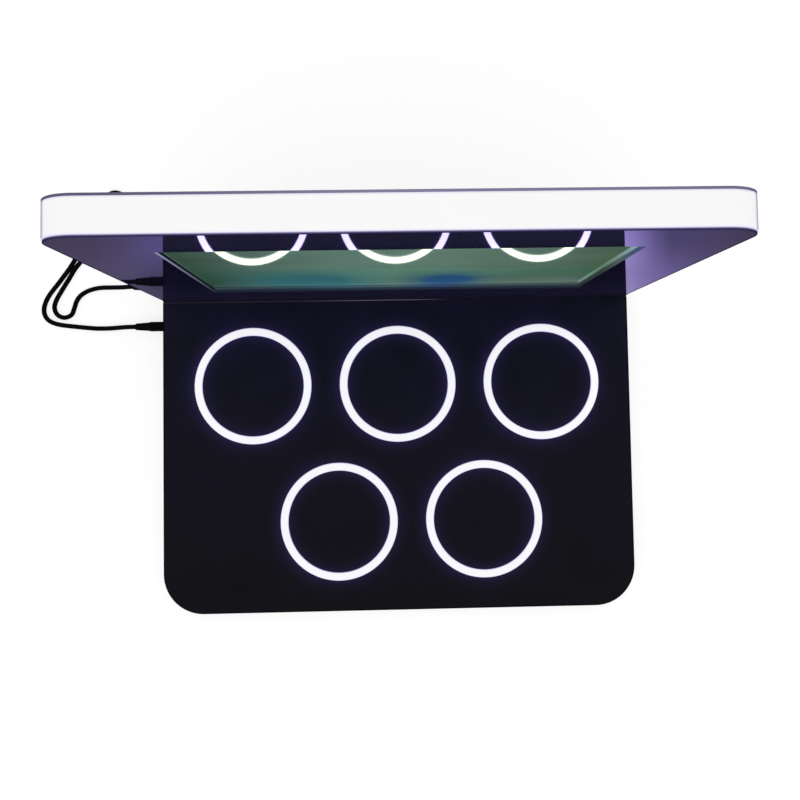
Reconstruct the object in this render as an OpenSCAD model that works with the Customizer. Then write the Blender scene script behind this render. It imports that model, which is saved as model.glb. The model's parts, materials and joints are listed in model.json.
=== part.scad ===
// Dance rhythm machine: a five-ring step pad bolted to an upright mirror-fronted light box with a screen.
// Millimetres. +Z up, +X to the player's right, the screen faces -Y.
// The origin is on the floor, in the middle of the whole footprint.

/* [Pad] */
// Width of the pad
pad_w = 1000; // [980:1:1040]
// Length of the pad, from its front edge to the upright
pad_l = 660; // [650:1:720]
// Height of the step surface above the floor
pad_h = 40; // [39:0.5:44]
// Radius of the two front corners
pad_corner_r = 85; // [60:1:100]
// Thickness of the rubber bumper round the free edges
bumper_t = 3; // [2:0.5:4]
// Thickness of the black deck sheet
deck_t = 4; // [3:0.5:5]
// Sheet thickness of the steel tray
tray_t = 2; // [1.5:0.5:2.5]
// Thickness of board left under each step well
well_floor_t = 6; // [5:0.5:7]
// Distance of the outer feet from the pad's sides
foot_edge_x = 100; // [90:1:120]
// Distance of the feet from the pad's front and rear edges
foot_edge_y = 75; // [60:1:85]
// Distance of the outer tray screws from the pad's sides
screw_edge_x = 50; // [40:1:60]

/* [Step stations] */
// Outer radius of the glowing ring
ring_r = 124.3; // [121:0.1:126]
// Width of the ring's glowing face
ring_face_w = 16.6; // [14:0.1:18]
// Height of the ring's light guide
guide_h = 9; // [8:0.5:10]
// Distance between neighbouring stations in a row
station_pitch = 309; // [300:1:318]
// Distance from the upright to the rear row's centres
rear_row_d = 181; // [180:1:188]
// Distance between the two rows
row_pitch = 291; // [282:1:300]
// How far the front pair sits to the right of the middle
front_shift = 25.5; // [0:0.5:28]
// Play between a step plate and its ring
plate_gap = 0.5; // [0.4:0.1:1]
// Height of a step plate, from its flange's underside to its top
plate_h = 14; // [13:0.5:15]
// Thickness of a step plate's top wall
plate_wall = 5.5; // [4:0.5:6]
// How far a step plate goes down
step_travel = 2.5; // [1.5:0.5:3]
// Radius of a rubber spring under a step plate
spring_r = 8; // [6:0.5:9]
// Distance of the rubber springs from the station's centre
spring_circle_r = 80; // [70:1:86]

/* [Upright] */
// Width of the light box
box_w = 984; // [970:1:990]
// Height of the upright above the floor
box_h = 744; // [730:1:780]
// Thickness of the light box, front to back
box_t = 58; // [54:1:70]
// Radius of the two top corners
box_corner_r = 59; // [40:1:70]
// Thickness of the mirror panel
mirror_t = 4; // [3:0.5:5]
// How far the mirror panel's edge sits inside the light band's outer face
mirror_reveal = 1.5; // [1:0.25:3]
// Thickness of the rear cover
cover_t = 4; // [3.5:0.5:5]
// Wall of the milky light band
band_t = 3; // [2:0.5:4]
// Air gap between the light band and the frame behind it
glow_gap = 34; // [28:1:40]
// Height of the base rail's top above the floor
rail_h = 74; // [70:1:80]
// Wall of the base rail
rail_t = 2.5; // [2:0.5:3]
// Thickness of the base rail's end caps
cap_t = 3; // [2:0.5:4]
// Width of a frame tube
tube_w = 30; // [24:1:36]
// Wall of a frame tube
tube_t = 2; // [1.5:0.5:3]
// Gap between the base rail and the lower cross tube
cross_gap = 61; // [58:1:66]

/* [Screen] */
// Width of the mirror panel's opening
opening_w = 717; // [712:1:722]
// Height of the opening's lower edge above the lower cross tube
opening_low = 23; // [20:1:28]
// Distance of the opening's upper edge from the upper cross tube
opening_top = 51; // [47:1:56]
// How far the picture runs on behind the opening's sides
under_x = 5; // [4:0.5:8]
// How far the picture runs on behind the opening's lower edge
under_low = 2; // [1:0.5:4]
// How far the picture runs on behind the opening's upper edge
under_top = 2; // [1:0.5:4]
// Width of the bezel's face
bezel_w = 5; // [4:0.5:6]
// Depth of the screen glass behind the mirror's face
screen_inset = 11; // [9:0.5:13]
// Thickness of the bezel's sheet
bezel_t = 1; // [0.8:0.1:1.5]
// Thickness of the display glass
glass_t = 3; // [2:0.5:4]
// Thickness of the white diffuser behind the glass
diffuser_t = 2; // [1.5:0.5:3]
// Depth of the diffuser and the backlight pan together
backlight_d = 16; // [12:0.5:18]
// Sheet thickness of the backlight pan
pan_t = 1.2; // [0.8:0.1:1.5]

/* [Rear] */
// Distance of the power inlet's middle from the light box's right side
inlet_edge = 122; // [107:1:160]
// Tilt of the power rocker each way
rocker_tilt = 12; // [8:1:14]
// Radius of a speaker's cone
speaker_r = 25; // [22:0.5:27]
// Distance of each speaker from the middle
speaker_x = 210; // [180:1:250]
// Width of a vent slot
vent_w = 70; // [50:1:90]
// Distance of each column of vents from the middle
vent_x = 200; // [160:1:260]
// Distance between the cover's screws along the cross tubes
cover_screw_pitch = 200; // [170:1:210]
// Distance between the cover's screws up the legs
leg_screw_pitch = 205; // [180:1:230]

/* [Link cable] */
// Diameter of the cable
cord_d = 10; // [9:0.1:10.5]
// Radius of a plug's grip
plug_r = 10.4; // [10:0.1:11.5]
// Length of a plug's grip
plug_grip_l = 33.5; // [32:0.5:36]
// Radius of a plug's strain relief at its root
relief_r = 9.2; // [8.5:0.1:9.8]
// Radius of a plug's strain relief at its tip
tip_r = 7.2; // [6.5:0.1:7.6]
// Radius of a plug's nose, inside its socket
nose_r = 7; // [6:0.1:7.5]

/* [Fasteners and feet] */
// Height of the rubber feet
foot_h = 8; // [6:0.5:10]
// Radius of a rubber foot
foot_r = 18; // [14:0.5:22]
// Radius of the bolts that join pad and upright
bolt_r = 4; // [3:0.5:5]
// Radius of the small screws
screw_r = 2; // [1.5:0.25:2.5]

/* [Hidden] */
$fn = 96;
part_gap = 0.3;              // play between pieces that drop into each other
run_gap = 0.4;               // play above a step plate's flange, and round the rocker
fine_gap = 0.1;              // play of a spigot, nose or pivot in its hole

total_d = pad_l + box_t;
front_y = -total_d / 2;
mirror_y = front_y + pad_l;  // the mirror's face and the pad's rear edge
back_y = mirror_y + box_t;
deck_z = pad_h - deck_t;     // underside of the deck sheet
core_z = foot_h + tray_t;
well_z = core_z + well_floor_t;
plate_z = pad_h - plate_h;
guide_z = pad_h - guide_h;

ring_in_r = ring_r - ring_face_w;
plate_r = ring_in_r - plate_gap;
flange_r = plate_r + 6.8;
flange_top = guide_z - run_gap;
skirt_r_in = ring_r + 2.2;   // the ring's skirt, clamped under the deck sheet
skirt_r_out = ring_r + 6.2;
board_t = 1.6;
shelf_z = plate_z - 2;       // the ledge that carries the light board
shelf_r_in = flange_r + 3;
shelf_r_out = skirt_r_out + 0.5;
led_r = (shelf_r_in + skirt_r_in) / 2 - 0.5;
led_count = 24;

rear_row_y = mirror_y - rear_row_d;
front_row_y = rear_row_y - row_pitch;
STATIONS = [
    [-station_pitch, rear_row_y],
    [0, rear_row_y],
    [station_pitch, rear_row_y],
    [front_shift - station_pitch / 2, front_row_y],
    [front_shift + station_pitch / 2, front_row_y]
];

strip_d = 45;                // wiring trench along the pad's rear edge
strip_run = 40;              // the trench runs on past the outer tie bolts
socket_bay_l = 80;           // room for the pad socket and its wires
lane_w = 12;                 // wiring lanes between trench and wells
ribbon_w = 8;
ribbon_t = 1.2;
sensor_h = plate_z - well_z - step_travel - 1;

socket_x = -pad_w / 2;       // face of the pad's cable socket
rail_collar = 8;             // brings the rail's socket out level with it
rail_socket_x = -box_w / 2 - rail_collar;
socket_r = 12;
barrel_r = 8.8;
barrel_l = 22;
socket_bore_r = nose_r + fine_gap;
nose_l = 9;
pad_socket_back = 49;
pad_socket_y = mirror_y - pad_socket_back;
pad_socket_z = (foot_h + deck_z) / 2;
rail_socket_back = 22.3;
rail_socket_y = back_y - rail_socket_back;
rail_socket_z = (foot_h + rail_h) / 2;
plug_l = 63;

bolt_z = (well_z + deck_z) / 2;
outer_foot_x = pad_w / 2 - foot_edge_x;
spigot_r = 4;
spigot_l = 6;
PAD_FEET = [
    for (x = [-outer_foot_x, -station_pitch / 2, station_pitch / 2, outer_foot_x])
        for (y = [front_y + foot_edge_y, mirror_y - foot_edge_y]) [x, y]
];
rail_foot_edge = 92;
RAIL_FEET_X = [-1, 0, 1] * (box_w / 2 - rail_foot_edge);
outer_screw_x = pad_w / 2 - screw_edge_x;
tray_screw_l = 15;
TRAY_SCREWS = [
    for (x = [-outer_screw_x, front_shift, outer_screw_x])
        for (y = [front_row_y, rear_row_y - row_pitch / 2]) [x, y]
];

tube_x = box_w / 2 - band_t - glow_gap - tube_w;   // inner face of a frame tube
bolt_leg_gap = 25;                                 // outer tie bolts, clear of the frame legs
BOLT_X = [-1, -0.25, 0.25, 1] * (tube_x - bolt_leg_gap);
bolt_head_t = 5;
bolt_nut_t = 6;
bolt_spare = 2.5;                                  // bolt that shows past its nut
strip_w = 2 * (tube_x - bolt_leg_gap + strip_run);
frame_top_z = box_h - band_t - glow_gap;
bay_y = mirror_y + mirror_t;                       // the bay between mirror and cover
bay_d = box_t - mirror_t - cover_t;
cover_y = back_y - cover_t;
cross_z = rail_h + cross_gap;
low_bay_z = rail_h + cross_gap / 2;                // middle of the bay under the lower cross tube
window_low = cross_z + tube_w;                     // the frame's window, between the cross tubes
window_top = frame_top_z - tube_w;
opening_h = window_top - window_low - opening_low - opening_top;
opening_z = window_low + opening_low + opening_h / 2;
picture_w = opening_w + 2 * under_x;
picture_h = opening_h + under_low + under_top;
picture_z = opening_z + (under_top - under_low) / 2;
glass_y = mirror_y + screen_inset;
bezel_y = glass_y - bezel_t;
diffuser_y = glass_y + glass_t;
pan_y = diffuser_y + diffuser_t;
pan_back_y = diffuser_y + backlight_d;
rib_d = 2;                                         // ribs pressed out of the pan's back
spacer_l = 5;
board_y = pan_back_y + spacer_l;                   // circuit boards on their spacers
bezel_out_w = picture_w + 2 * bezel_w;
bezel_out_h = picture_h + 2 * bezel_w;
gasket_set = 0.5;                                  // the gasket keeps this far behind the opening's rim
display_w = bezel_out_w - 2 * bezel_t - part_gap;  // glass, diffuser and pan, inside the bezel's wall
display_h = bezel_out_h - 2 * bezel_t - part_gap;
main_board_w = 170;
main_board_h = 110;
main_board_x = 95;
supply_w = 160;
supply_h = 98;
supply_x = -260;
supply_slot_l = 60;
sink_l = 50;                                       // square heat sink on the main board
sink_off = 55;
sink_x = main_board_x + sink_off;
bracket_rise = 120;                                // brackets above and below the display's middle
upper_vent_rise = 53;                              // lowest slots of the vents, from the display's middle
lower_vent_drop = 157;
spacer_edge = 10;                                  // spacers in from the corners of both boards
lowest_screw = 20;
SCREW_X = [-1, 0, 1] * cover_screw_pitch;
SCREW_Z = [for (i = [0:2]) rail_h + lowest_screw + i * leg_screw_pitch];
sink_t = 2.5;                                      // depth of a countersunk screw head
slot_r = 2.5;
vent_pitch = 14;

flange_w = 62;               // power inlet module, seen from behind
flange_h = 30;
flange_t = 2;
inlet_body_w = 52;
inlet_body_h = 25;
inlet_x = box_w / 2 - inlet_edge;
inlet_z = low_bay_z;
inlet_dx = 12;               // plug cavity, off the module's centre
cavity_w = 24;
cavity_h = 16;
cavity_d = 19;
blade_l = 13;
rocker_dx = -17;
rocker_w = 12;
rocker_half = 9;
rocker_lip = 3.2;
rocker_x = inlet_x + rocker_dx;
rocker_y = back_y - rocker_lip * cos(rocker_tilt) - rocker_half * sin(rocker_tilt);
rocker_cavity_half = sqrt(pow(rocker_half, 2) + pow(rocker_lip, 2)) + run_gap;

// The link cable's route: pad plug, loop on the floor, bight behind the upright, back to the rail plug.
ROUTE = [
    [-563, 252, 22], [-584, 252, 20], [-606, 251.5, 11.5], [-628, 251, 6], [-655, 251.5, 5],
    [-694, 255.5, 5], [-728, 260, 5], [-748, 266, 5], [-760, 275.5, 5], [-765.5, 290, 5],
    [-763, 307, 5], [-753, 327, 5], [-730, 357, 5], [-704, 394, 5], [-673, 451, 5],
    [-650, 500, 5], [-641, 519, 5], [-632.5, 536.5, 5], [-619.9, 548.5, 5], [-602.8, 548, 5],
    [-591, 535.5, 5], [-591.5, 518.5, 5], [-600, 500.5, 5], [-632, 456, 5], [-690, 394, 5],
    [-714, 357, 5], [-731, 329, 5], [-739.5, 313, 5], [-743, 297, 5], [-736.4, 282.3, 5],
    [-721.5, 276, 5], [-706.5, 281.9, 5], [-700, 297, 5], [-695, 312, 5], [-685, 325, 5],
    [-667, 335, 5], [-644, 340, 5], [-618, 339.5, 12], [-591, 336.9, 31], [-563, 336.7, 41]
];

// ---- shared shapes ----

// Pad outline, square at the upright and round at the front, drawn inside its edges by inset.
module pad_outline(inset = 0, rear_inset = 0) {
    half = pad_w / 2 - inset;
    r = pad_corner_r - inset;
    y0 = front_y + inset;
    y1 = mirror_y - rear_inset;
    translate([-half, y0 + r]) square([2 * half, y1 - y0 - r]);
    translate([r - half, y0]) square([2 * (half - r), 2 * r]);
    for (s = [-1, 1]) translate([s * (half - r), y0 + r]) circle(r);
}

// Light box outline in X and Z, square on the base rail and round at the top.
module box_outline(inset = 0, bottom = rail_h) {
    half = box_w / 2 - inset;
    r = box_corner_r - inset;
    top = box_h - inset;
    translate([-half, bottom]) square([2 * half, top - r - bottom]);
    translate([r - half, bottom + r]) square([2 * (half - r), top - r - bottom]);
    for (s = [-1, 1]) translate([s * (half - r), top - r]) circle(r);
}

// Stands an outline drawn in X and Z up as a plate, from y back by t.
module upright_plate(y, t) {
    translate([0, y + t, 0]) rotate([90, 0, 0]) linear_extrude(t) children();
}

// A frame round the picture, as large as the bezel, with a hole of w by h.
module screen_frame(w, h) {
    translate([0, picture_z]) difference() {
        square([bezel_out_w, bezel_out_h], center = true);
        square([w, h], center = true);
    }
}

// A rod or a turned piece that lies along Y, its foot at y.
module along_y(x, y, z) {
    translate([x, y, z]) rotate([-90, 0, 0]) children();
}

// A turned piece that lies along X and starts at x, pointing to -X.
module along_minus_x(x, y, z) {
    translate([x, y, z]) rotate([0, -90, 0]) children();
}

module at_station(k) {
    translate([STATIONS[k - 1][0], STATIONS[k - 1][1], 0]) children();
}

module spring_places() {
    for (a = [45:90:315]) rotate(a) translate([spring_circle_r, 0, 0]) children();
}

// A rubber foot with the spigot that presses into the sheet above it.
module rubber_foot() {
    rotate_extrude() polygon([
        [5, 3], [5, 0], [foot_r - 2, 0], [foot_r, 2], [foot_r, foot_h], [spigot_r, foot_h],
        [spigot_r, foot_h + spigot_l], [0, foot_h + spigot_l], [0, 3]
    ]);
}

// ---- pad ----

// Folded steel tray that carries the whole pad.
module base_tray() {
    color("dimgray") difference() {
        translate([0, 0, foot_h]) linear_extrude(deck_z - foot_h) pad_outline(bumper_t);
        translate([0, 0, core_z]) linear_extrude(pad_h) pad_outline(bumper_t + tray_t, tray_t);
        for (p = PAD_FEET) translate([p[0], p[1], 0]) cylinder(r = spigot_r, h = pad_h);
        for (p = TRAY_SCREWS) translate([p[0], p[1], 0]) cylinder(r = screw_r, h = pad_h);
        for (x = BOLT_X) along_y(x, mirror_y - tray_t - 1, bolt_z) cylinder(r = bolt_r, h = tray_t + 2);
        along_minus_x(socket_x + bumper_t + tray_t + 1, pad_socket_y, pad_socket_z)
            cylinder(r = barrel_r, h = tray_t + 2);
    }
}

// Structural board that fills the tray, with a well for each station and lanes for the wiring.
module deck_core() {
    inset = bumper_t + tray_t + part_gap;
    color("burlywood") difference() {
        translate([0, 0, core_z]) linear_extrude(deck_z - core_z) pad_outline(inset, tray_t + part_gap);
        for (k = [1:5]) at_station(k) {
            translate([0, 0, well_z]) cylinder(r = shelf_r_in, h = pad_h);
            translate([0, 0, shelf_z]) cylinder(r = shelf_r_out, h = pad_h);
        }
        translate([-strip_w / 2, mirror_y - strip_d, well_z]) cube([strip_w, strip_d + 1, pad_h]);
        for (x = [-1, 0, 1] * station_pitch)
            translate([x - lane_w / 2, rear_row_y, well_z]) cube([lane_w, rear_row_d - 10, pad_h]);
        for (x = [-0.5, 0.5] * station_pitch)
            translate([x - lane_w / 2, front_row_y, well_z])
                cube([lane_w, rear_row_d + row_pitch - 10, pad_h]);
        translate([socket_x, pad_socket_y - socket_r - 2, foot_h])
            cube([socket_bay_l, 2 * socket_r + 4, pad_h]);
        for (p = PAD_FEET) translate([p[0], p[1], 0]) cylinder(r = spigot_r, h = foot_h + spigot_l);
        for (p = TRAY_SCREWS) translate([p[0], p[1], 0]) cylinder(r = screw_r, h = foot_h + tray_screw_l);
    }
}

// Black deck sheet with one round opening for each ring.
module deck_sheet() {
    color("#15141c") translate([0, 0, deck_z]) linear_extrude(deck_t) difference() {
        pad_outline(bumper_t);
        for (s = STATIONS) translate(s) circle(ring_r + part_gap);
    }
}

// Section of the rubber bumper, its outer face at 0 and its outer shoulder round.
module bumper_section() {
    translate([-bumper_t, foot_h]) square([bumper_t, pad_h - foot_h - bumper_t / 2]);
    translate([-bumper_t, foot_h]) square([bumper_t / 2, pad_h - foot_h]);
    translate([-bumper_t / 2, pad_h - bumper_t / 2]) circle(bumper_t / 2);
}

// Straight run of bumper, its outer face at X 0, from Y 0 towards -Y.
module bumper_run(l) {
    rotate([90, 0, 0]) linear_extrude(l) bumper_section();
}

// Rubber bumper along the two sides, round the front corners and across the front.
module edge_bumper() {
    half = pad_w / 2;
    corner_x = half - pad_corner_r;
    corner_y = front_y + pad_corner_r;
    color("#1b1a22") difference() {
        union() {
            for (s = [0, 1]) mirror([s, 0, 0]) {
                translate([half, mirror_y, 0]) bumper_run(pad_l - pad_corner_r);
                translate([corner_x, corner_y, 0]) rotate(-90)
                    rotate_extrude(angle = 90) translate([pad_corner_r, 0]) bumper_section();
            }
            translate([corner_x, front_y, 0]) rotate(-90) bumper_run(2 * corner_x);
        }
        along_minus_x(socket_x + bumper_t + 1, pad_socket_y, pad_socket_z)
            cylinder(r = socket_r + part_gap, h = bumper_t + 2);
    }
}

// Milky ring: a light guide that shows in the deck, with a skirt clamped under the deck sheet.
module light_ring(k) {
    color("white") at_station(k) rotate_extrude() polygon([
        [ring_in_r, guide_z], [ring_in_r, pad_h], [ring_r, pad_h], [ring_r, deck_z],
        [skirt_r_out, deck_z], [skirt_r_out, shelf_z + board_t], [skirt_r_in, shelf_z + board_t],
        [skirt_r_in, guide_z]
    ]);
}

// Ribbed step plate; its flange is trapped under the ring, so it can only go down.
module step_plate(k) {
    web_top = pad_h - plate_wall + 0.5;
    rim_t = 7;
    color("#121118") at_station(k) {
        rotate_extrude() polygon([
            [0, pad_h - plate_wall], [plate_r - rim_t, pad_h - plate_wall], [plate_r - rim_t, plate_z],
            [flange_r, plate_z], [flange_r, flange_top], [plate_r, flange_top],
            [plate_r, pad_h - 0.6], [plate_r - 0.6, pad_h], [0, pad_h]
        ]);
        for (a = [0:60:300]) rotate(a)
            translate([6, -1.5, plate_z + 3]) cube([plate_r - rim_t - 5, 3, web_top - plate_z - 3]);
        spring_places() translate([0, 0, plate_z]) cylinder(r = spring_r + 1, h = web_top - plate_z);
        translate([0, 0, plate_z]) cylinder(r = 9, h = web_top - plate_z);
    }
}

// Four barrel-shaped rubber springs under a step plate.
module step_springs(k) {
    waist_z = (well_z + plate_z) / 2;
    color("darkslategray") at_station(k) spring_places() rotate_extrude() polygon([
        [0, well_z], [spring_r - 1, well_z], [spring_r, waist_z], [spring_r - 1, plate_z], [0, plate_z]
    ]);
}

// Round light board with its chips, on the ledge under the ring.
module ring_leds(k) {
    color("ivory") at_station(k) {
        translate([0, 0, shelf_z]) difference() {
            cylinder(r = skirt_r_out, h = board_t);
            translate([0, 0, -1]) cylinder(r = shelf_r_in + part_gap, h = board_t + 2);
        }
        for (i = [0:led_count - 1]) rotate(i * 360 / led_count)
            translate([led_r - 2, -2.5, shelf_z + board_t]) cube([4, 5, 1.4]);
    }
}

// A magnetic sensor on its small board, in the middle of each well.
module step_sensors() {
    color("seagreen") for (s = STATIONS) translate([s[0], s[1], well_z]) {
        translate([-15, -10, 0]) cube([30, 20, board_t]);
        cylinder(r = 5, h = sensor_h);
        translate([-13, -6, 0]) cube([6, 12, sensor_h]);
    }
}

// Pad controller in the rear trench, with its chip, plugs and capacitors.
module pad_board() {
    w = 110;
    d = 30;
    chip_l = 14;
    chip_x = 44;
    chip_y = 8;
    color("seagreen") translate([9 - station_pitch, mirror_y - strip_d + 4, well_z]) {
        for (x = [5, w - 5], y = [4, d - 4]) translate([x, y, 0]) cylinder(r = 3, h = 4);
        translate([0, 0, 4]) cube([w, d, board_t]);
        translate([chip_x, chip_y, 4]) cube([chip_l, chip_l, board_t + 1.6]);
        for (i = [0:3]) translate([66 + i * 10, 3, 4]) cube([8, 6, board_t + 6]);
        for (i = [0:2]) translate([16 + i * 10, 15, 4]) cylinder(r = 3.5, h = board_t + 8);
    }
}

// Flat ribbon cables, from each sensor up its lane and along the rear trench.
module pad_wiring() {
    trunk_y = mirror_y - 9;
    color("gray") translate([0, 0, well_z]) linear_extrude(ribbon_t) {
        for (k = [0:2]) translate([STATIONS[k][0] - ribbon_w / 2, STATIONS[k][1] + 10])
            square([ribbon_w, trunk_y - STATIONS[k][1] - 10]);
        for (k = [3:4]) {
            lane_x = (k - 3.5) * station_pitch;
            x0 = lane_x - ribbon_w / 2;
            translate([x0, STATIONS[k][1] + 10])
                square([ribbon_w, trunk_y - STATIONS[k][1] - 10]);
            translate([x0, STATIONS[k][1] + 10])
                square([STATIONS[k][0] - lane_x + ribbon_w, ribbon_w]);
        }
        translate([-station_pitch - ribbon_w / 2, trunk_y])
            square([2 * station_pitch + ribbon_w, ribbon_w - 2]);
    }
}

// Panel socket: flange, threaded barrel, clamp nut and the bore that takes a plug's nose.
module cable_socket(collar_l, nut_x) {
    difference() {
        union() {
            cylinder(r = socket_r, h = collar_l);
            translate([0, 0, -barrel_l]) cylinder(r = barrel_r, h = barrel_l + 1);
            translate([0, 0, nut_x - 4]) cylinder(r = socket_r, h = 4, $fn = 6);
        }
        translate([0, 0, collar_l - nose_l - 1]) cylinder(r = socket_bore_r, h = nose_l + 2);
    }
}

// Socket in the pad's left side, flush with the bumper.
module pad_socket() {
    color("silver") along_minus_x(socket_x + bumper_t, pad_socket_y, pad_socket_z)
        cable_socket(bumper_t, -tray_t);
}

// Rubber feet under the pad.
module pad_feet() {
    color("#222222") for (p = PAD_FEET) translate([p[0], p[1], 0]) rubber_foot();
}

// Screws that hold the board down in the tray, driven from below.
module tray_screws() {
    color("silver") for (p = TRAY_SCREWS) translate([p[0], p[1], 0]) {
        translate([0, 0, foot_h - 2]) cylinder(r = 2.2 * screw_r, h = 2);
        translate([0, 0, foot_h - 1]) cylinder(r = screw_r, h = tray_screw_l + 1);
    }
}

// Hexagon bolts and nuts that clamp the tray's rear wall to the base rail.
module tie_bolts() {
    color("silver") for (x = BOLT_X) {
        along_y(x, mirror_y - tray_t - bolt_head_t, bolt_z) {
            cylinder(r = 1.8 * bolt_r, h = bolt_head_t, $fn = 6);
            cylinder(r = bolt_r, h = bolt_head_t + tray_t + rail_t + bolt_nut_t + bolt_spare);
        }
        along_y(x, mirror_y + rail_t, bolt_z) cylinder(r = 1.8 * bolt_r, h = bolt_nut_t, $fn = 6);
    }
}

// ---- upright ----

// Square tube of length l along Z, hollow all the way.
module square_tube(w, d, l) {
    difference() {
        cube([w, d, l]);
        translate([tube_t, tube_t, -1]) cube([w - 2 * tube_t, d - 2 * tube_t, l + 2]);
    }
}

// Black steel rail that carries the light box and bolts to the pad.
module base_rail() {
    half = box_w / 2 - cap_t;
    color("#17161c") difference() {
        translate([-half, mirror_y, foot_h]) cube([2 * half, box_t, rail_h - foot_h]);
        translate([-half - 1, mirror_y + rail_t, foot_h + rail_t])
            cube([2 * half + 2, box_t - 2 * rail_t, rail_h - foot_h - 2 * rail_t]);
        for (x = BOLT_X) along_y(x, mirror_y - 1, bolt_z) cylinder(r = bolt_r, h = rail_t + 2);
        for (x = RAIL_FEET_X) translate([x, mirror_y + box_t / 2, 0]) cylinder(r = spigot_r, h = foot_h + 9);
        for (x = [-tube_x - tube_w, tube_x]) translate([x, bay_y, rail_h - rail_t - 1])
            cube([tube_w, bay_d, rail_t + 2]);
    }
}

// Plastic cap that plugs one end of the base rail.
module rail_cap(side) {
    lip = 8;
    inner = rail_t + part_gap;
    x0 = side > 0 ? box_w / 2 - cap_t : -box_w / 2;
    lip_x = side > 0 ? x0 - lip : x0 + cap_t;
    translate([x0, mirror_y, foot_h]) cube([cap_t, box_t, rail_h - foot_h]);
    difference() {
        translate([lip_x, mirror_y + inner, foot_h + inner])
            cube([lip, box_t - 2 * inner, rail_h - foot_h - 2 * inner]);
        translate([lip_x - 1, mirror_y + inner + 2, foot_h + inner + 2])
            cube([lip + 2, box_t - 2 * inner - 4, rail_h - foot_h - 2 * inner - 4]);
    }
}

module rail_cap_left() {
    color("#1b1a22") difference() {
        rail_cap(-1);
        along_minus_x(cap_t - box_w / 2 + 1, rail_socket_y, rail_socket_z)
            cylinder(r = barrel_r, h = cap_t + 2);
    }
}

module rail_cap_right() {
    color("#1b1a22") rail_cap(1);
}

module rail_feet() {
    color("#222222") for (x = RAIL_FEET_X) translate([x, mirror_y + box_t / 2, 0]) rubber_foot();
}

// Socket in the rail's left cap; its collar brings it out level with the pad's side.
module rail_socket() {
    color("silver") along_minus_x(-box_w / 2, rail_socket_y, rail_socket_z)
        cable_socket(rail_collar, -cap_t);
}

// Frame legs stand in the base rail and run up both sides of the bay.
module frame_leg(x) {
    z0 = foot_h + rail_t;
    difference() {
        translate([x, bay_y, z0]) square_tube(tube_w, bay_d, frame_top_z - z0);
        cover_screw_places() tapped_hole();
    }
}

module frame_left() {
    color("gray") frame_leg(-tube_x - tube_w);
}

module frame_right() {
    color("gray") frame_leg(tube_x);
}

// Cross tube between the legs, its underside at z.
module cross_tube(z) {
    difference() {
        translate([-tube_x, bay_y, z + tube_w]) rotate([0, 90, 0]) square_tube(tube_w, bay_d, 2 * tube_x);
        cover_screw_places() tapped_hole();
    }
}

// Hole for a cover screw, through a tube's rear wall.
module tapped_hole() {
    translate([0, 0, -tube_t - 1]) cylinder(r = screw_r, h = tube_t + 2);
}

module frame_top() {
    color("gray") cross_tube(frame_top_z - tube_w);
}

module frame_cross() {
    color("gray") cross_tube(cross_z);
}

// Smoked mirror sheet with the screen's opening.
module mirror_panel() {
    color("#6a6488") upright_plate(mirror_y, mirror_t) difference() {
        box_outline(mirror_reveal);
        translate([0, opening_z]) square([opening_w, opening_h], center = true);
    }
}

// Milky strip bent round both sides and the top.
module light_band() {
    color("white") upright_plate(bay_y, bay_d) difference() {
        box_outline();
        box_outline(band_t, rail_h - 10);
    }
}

// Light strips on the outside of the frame, facing the milky band.
module band_leds() {
    strip_h = 12;
    pitch = 50;
    y0 = bay_y + bay_d / 2;
    z0 = rail_h + 20;
    side_l = frame_top_z - z0 - 10;
    side_x = tube_x + tube_w;
    color("ivory") {
        for (s = [0, 1]) mirror([s, 0, 0]) {
            translate([side_x, y0 - strip_h / 2, z0]) cube([1, strip_h, side_l]);
            for (z = [z0 + 15:pitch:z0 + side_l - 10])
                translate([side_x + 0.5, y0 - 2.5, z - 2.5]) cube([2, 5, 5]);
        }
        translate([-tube_x, y0 - strip_h / 2, frame_top_z]) cube([2 * tube_x, strip_h, 1]);
        for (x = [25 - tube_x:pitch:tube_x - 10])
            translate([x - 2.5, y0 - 2.5, frame_top_z + 0.5]) cube([5, 5, 2]);
    }
}

// Column of level vent slots with round ends, the lowest at z.
module vent_slots(x, z, count) {
    for (i = [0:count - 1]) translate([x, z + i * vent_pitch]) {
        square([vent_w - 2 * slot_r, 2 * slot_r], center = true);
        for (s = [-1, 1]) translate([s * (vent_w / 2 - slot_r), 0]) circle(slot_r);
    }
}

// Round grille of holes in rings of six, twelve and eighteen.
module speaker_grille(x) {
    step = (speaker_r - 3) / 3;
    translate([x, low_bay_z]) {
        circle(2);
        for (ring = [1:3], i = [0:6 * ring - 1]) rotate(i * 60 / ring) translate([ring * step, 0]) circle(2);
    }
}

// Places of the cover's screws: down both legs and along both cross tubes.
module cover_screw_places() {
    for (s = [-1, 1], z = SCREW_Z) along_y(s * (tube_x + tube_w / 2), cover_y, z) children();
    for (x = SCREW_X) along_y(x, cover_y, cross_z + tube_w / 2) children();
    for (x = [-tube_x - tube_w / 2, each SCREW_X, tube_x + tube_w / 2])
        along_y(x, cover_y, frame_top_z - tube_w / 2) children();
}

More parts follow.
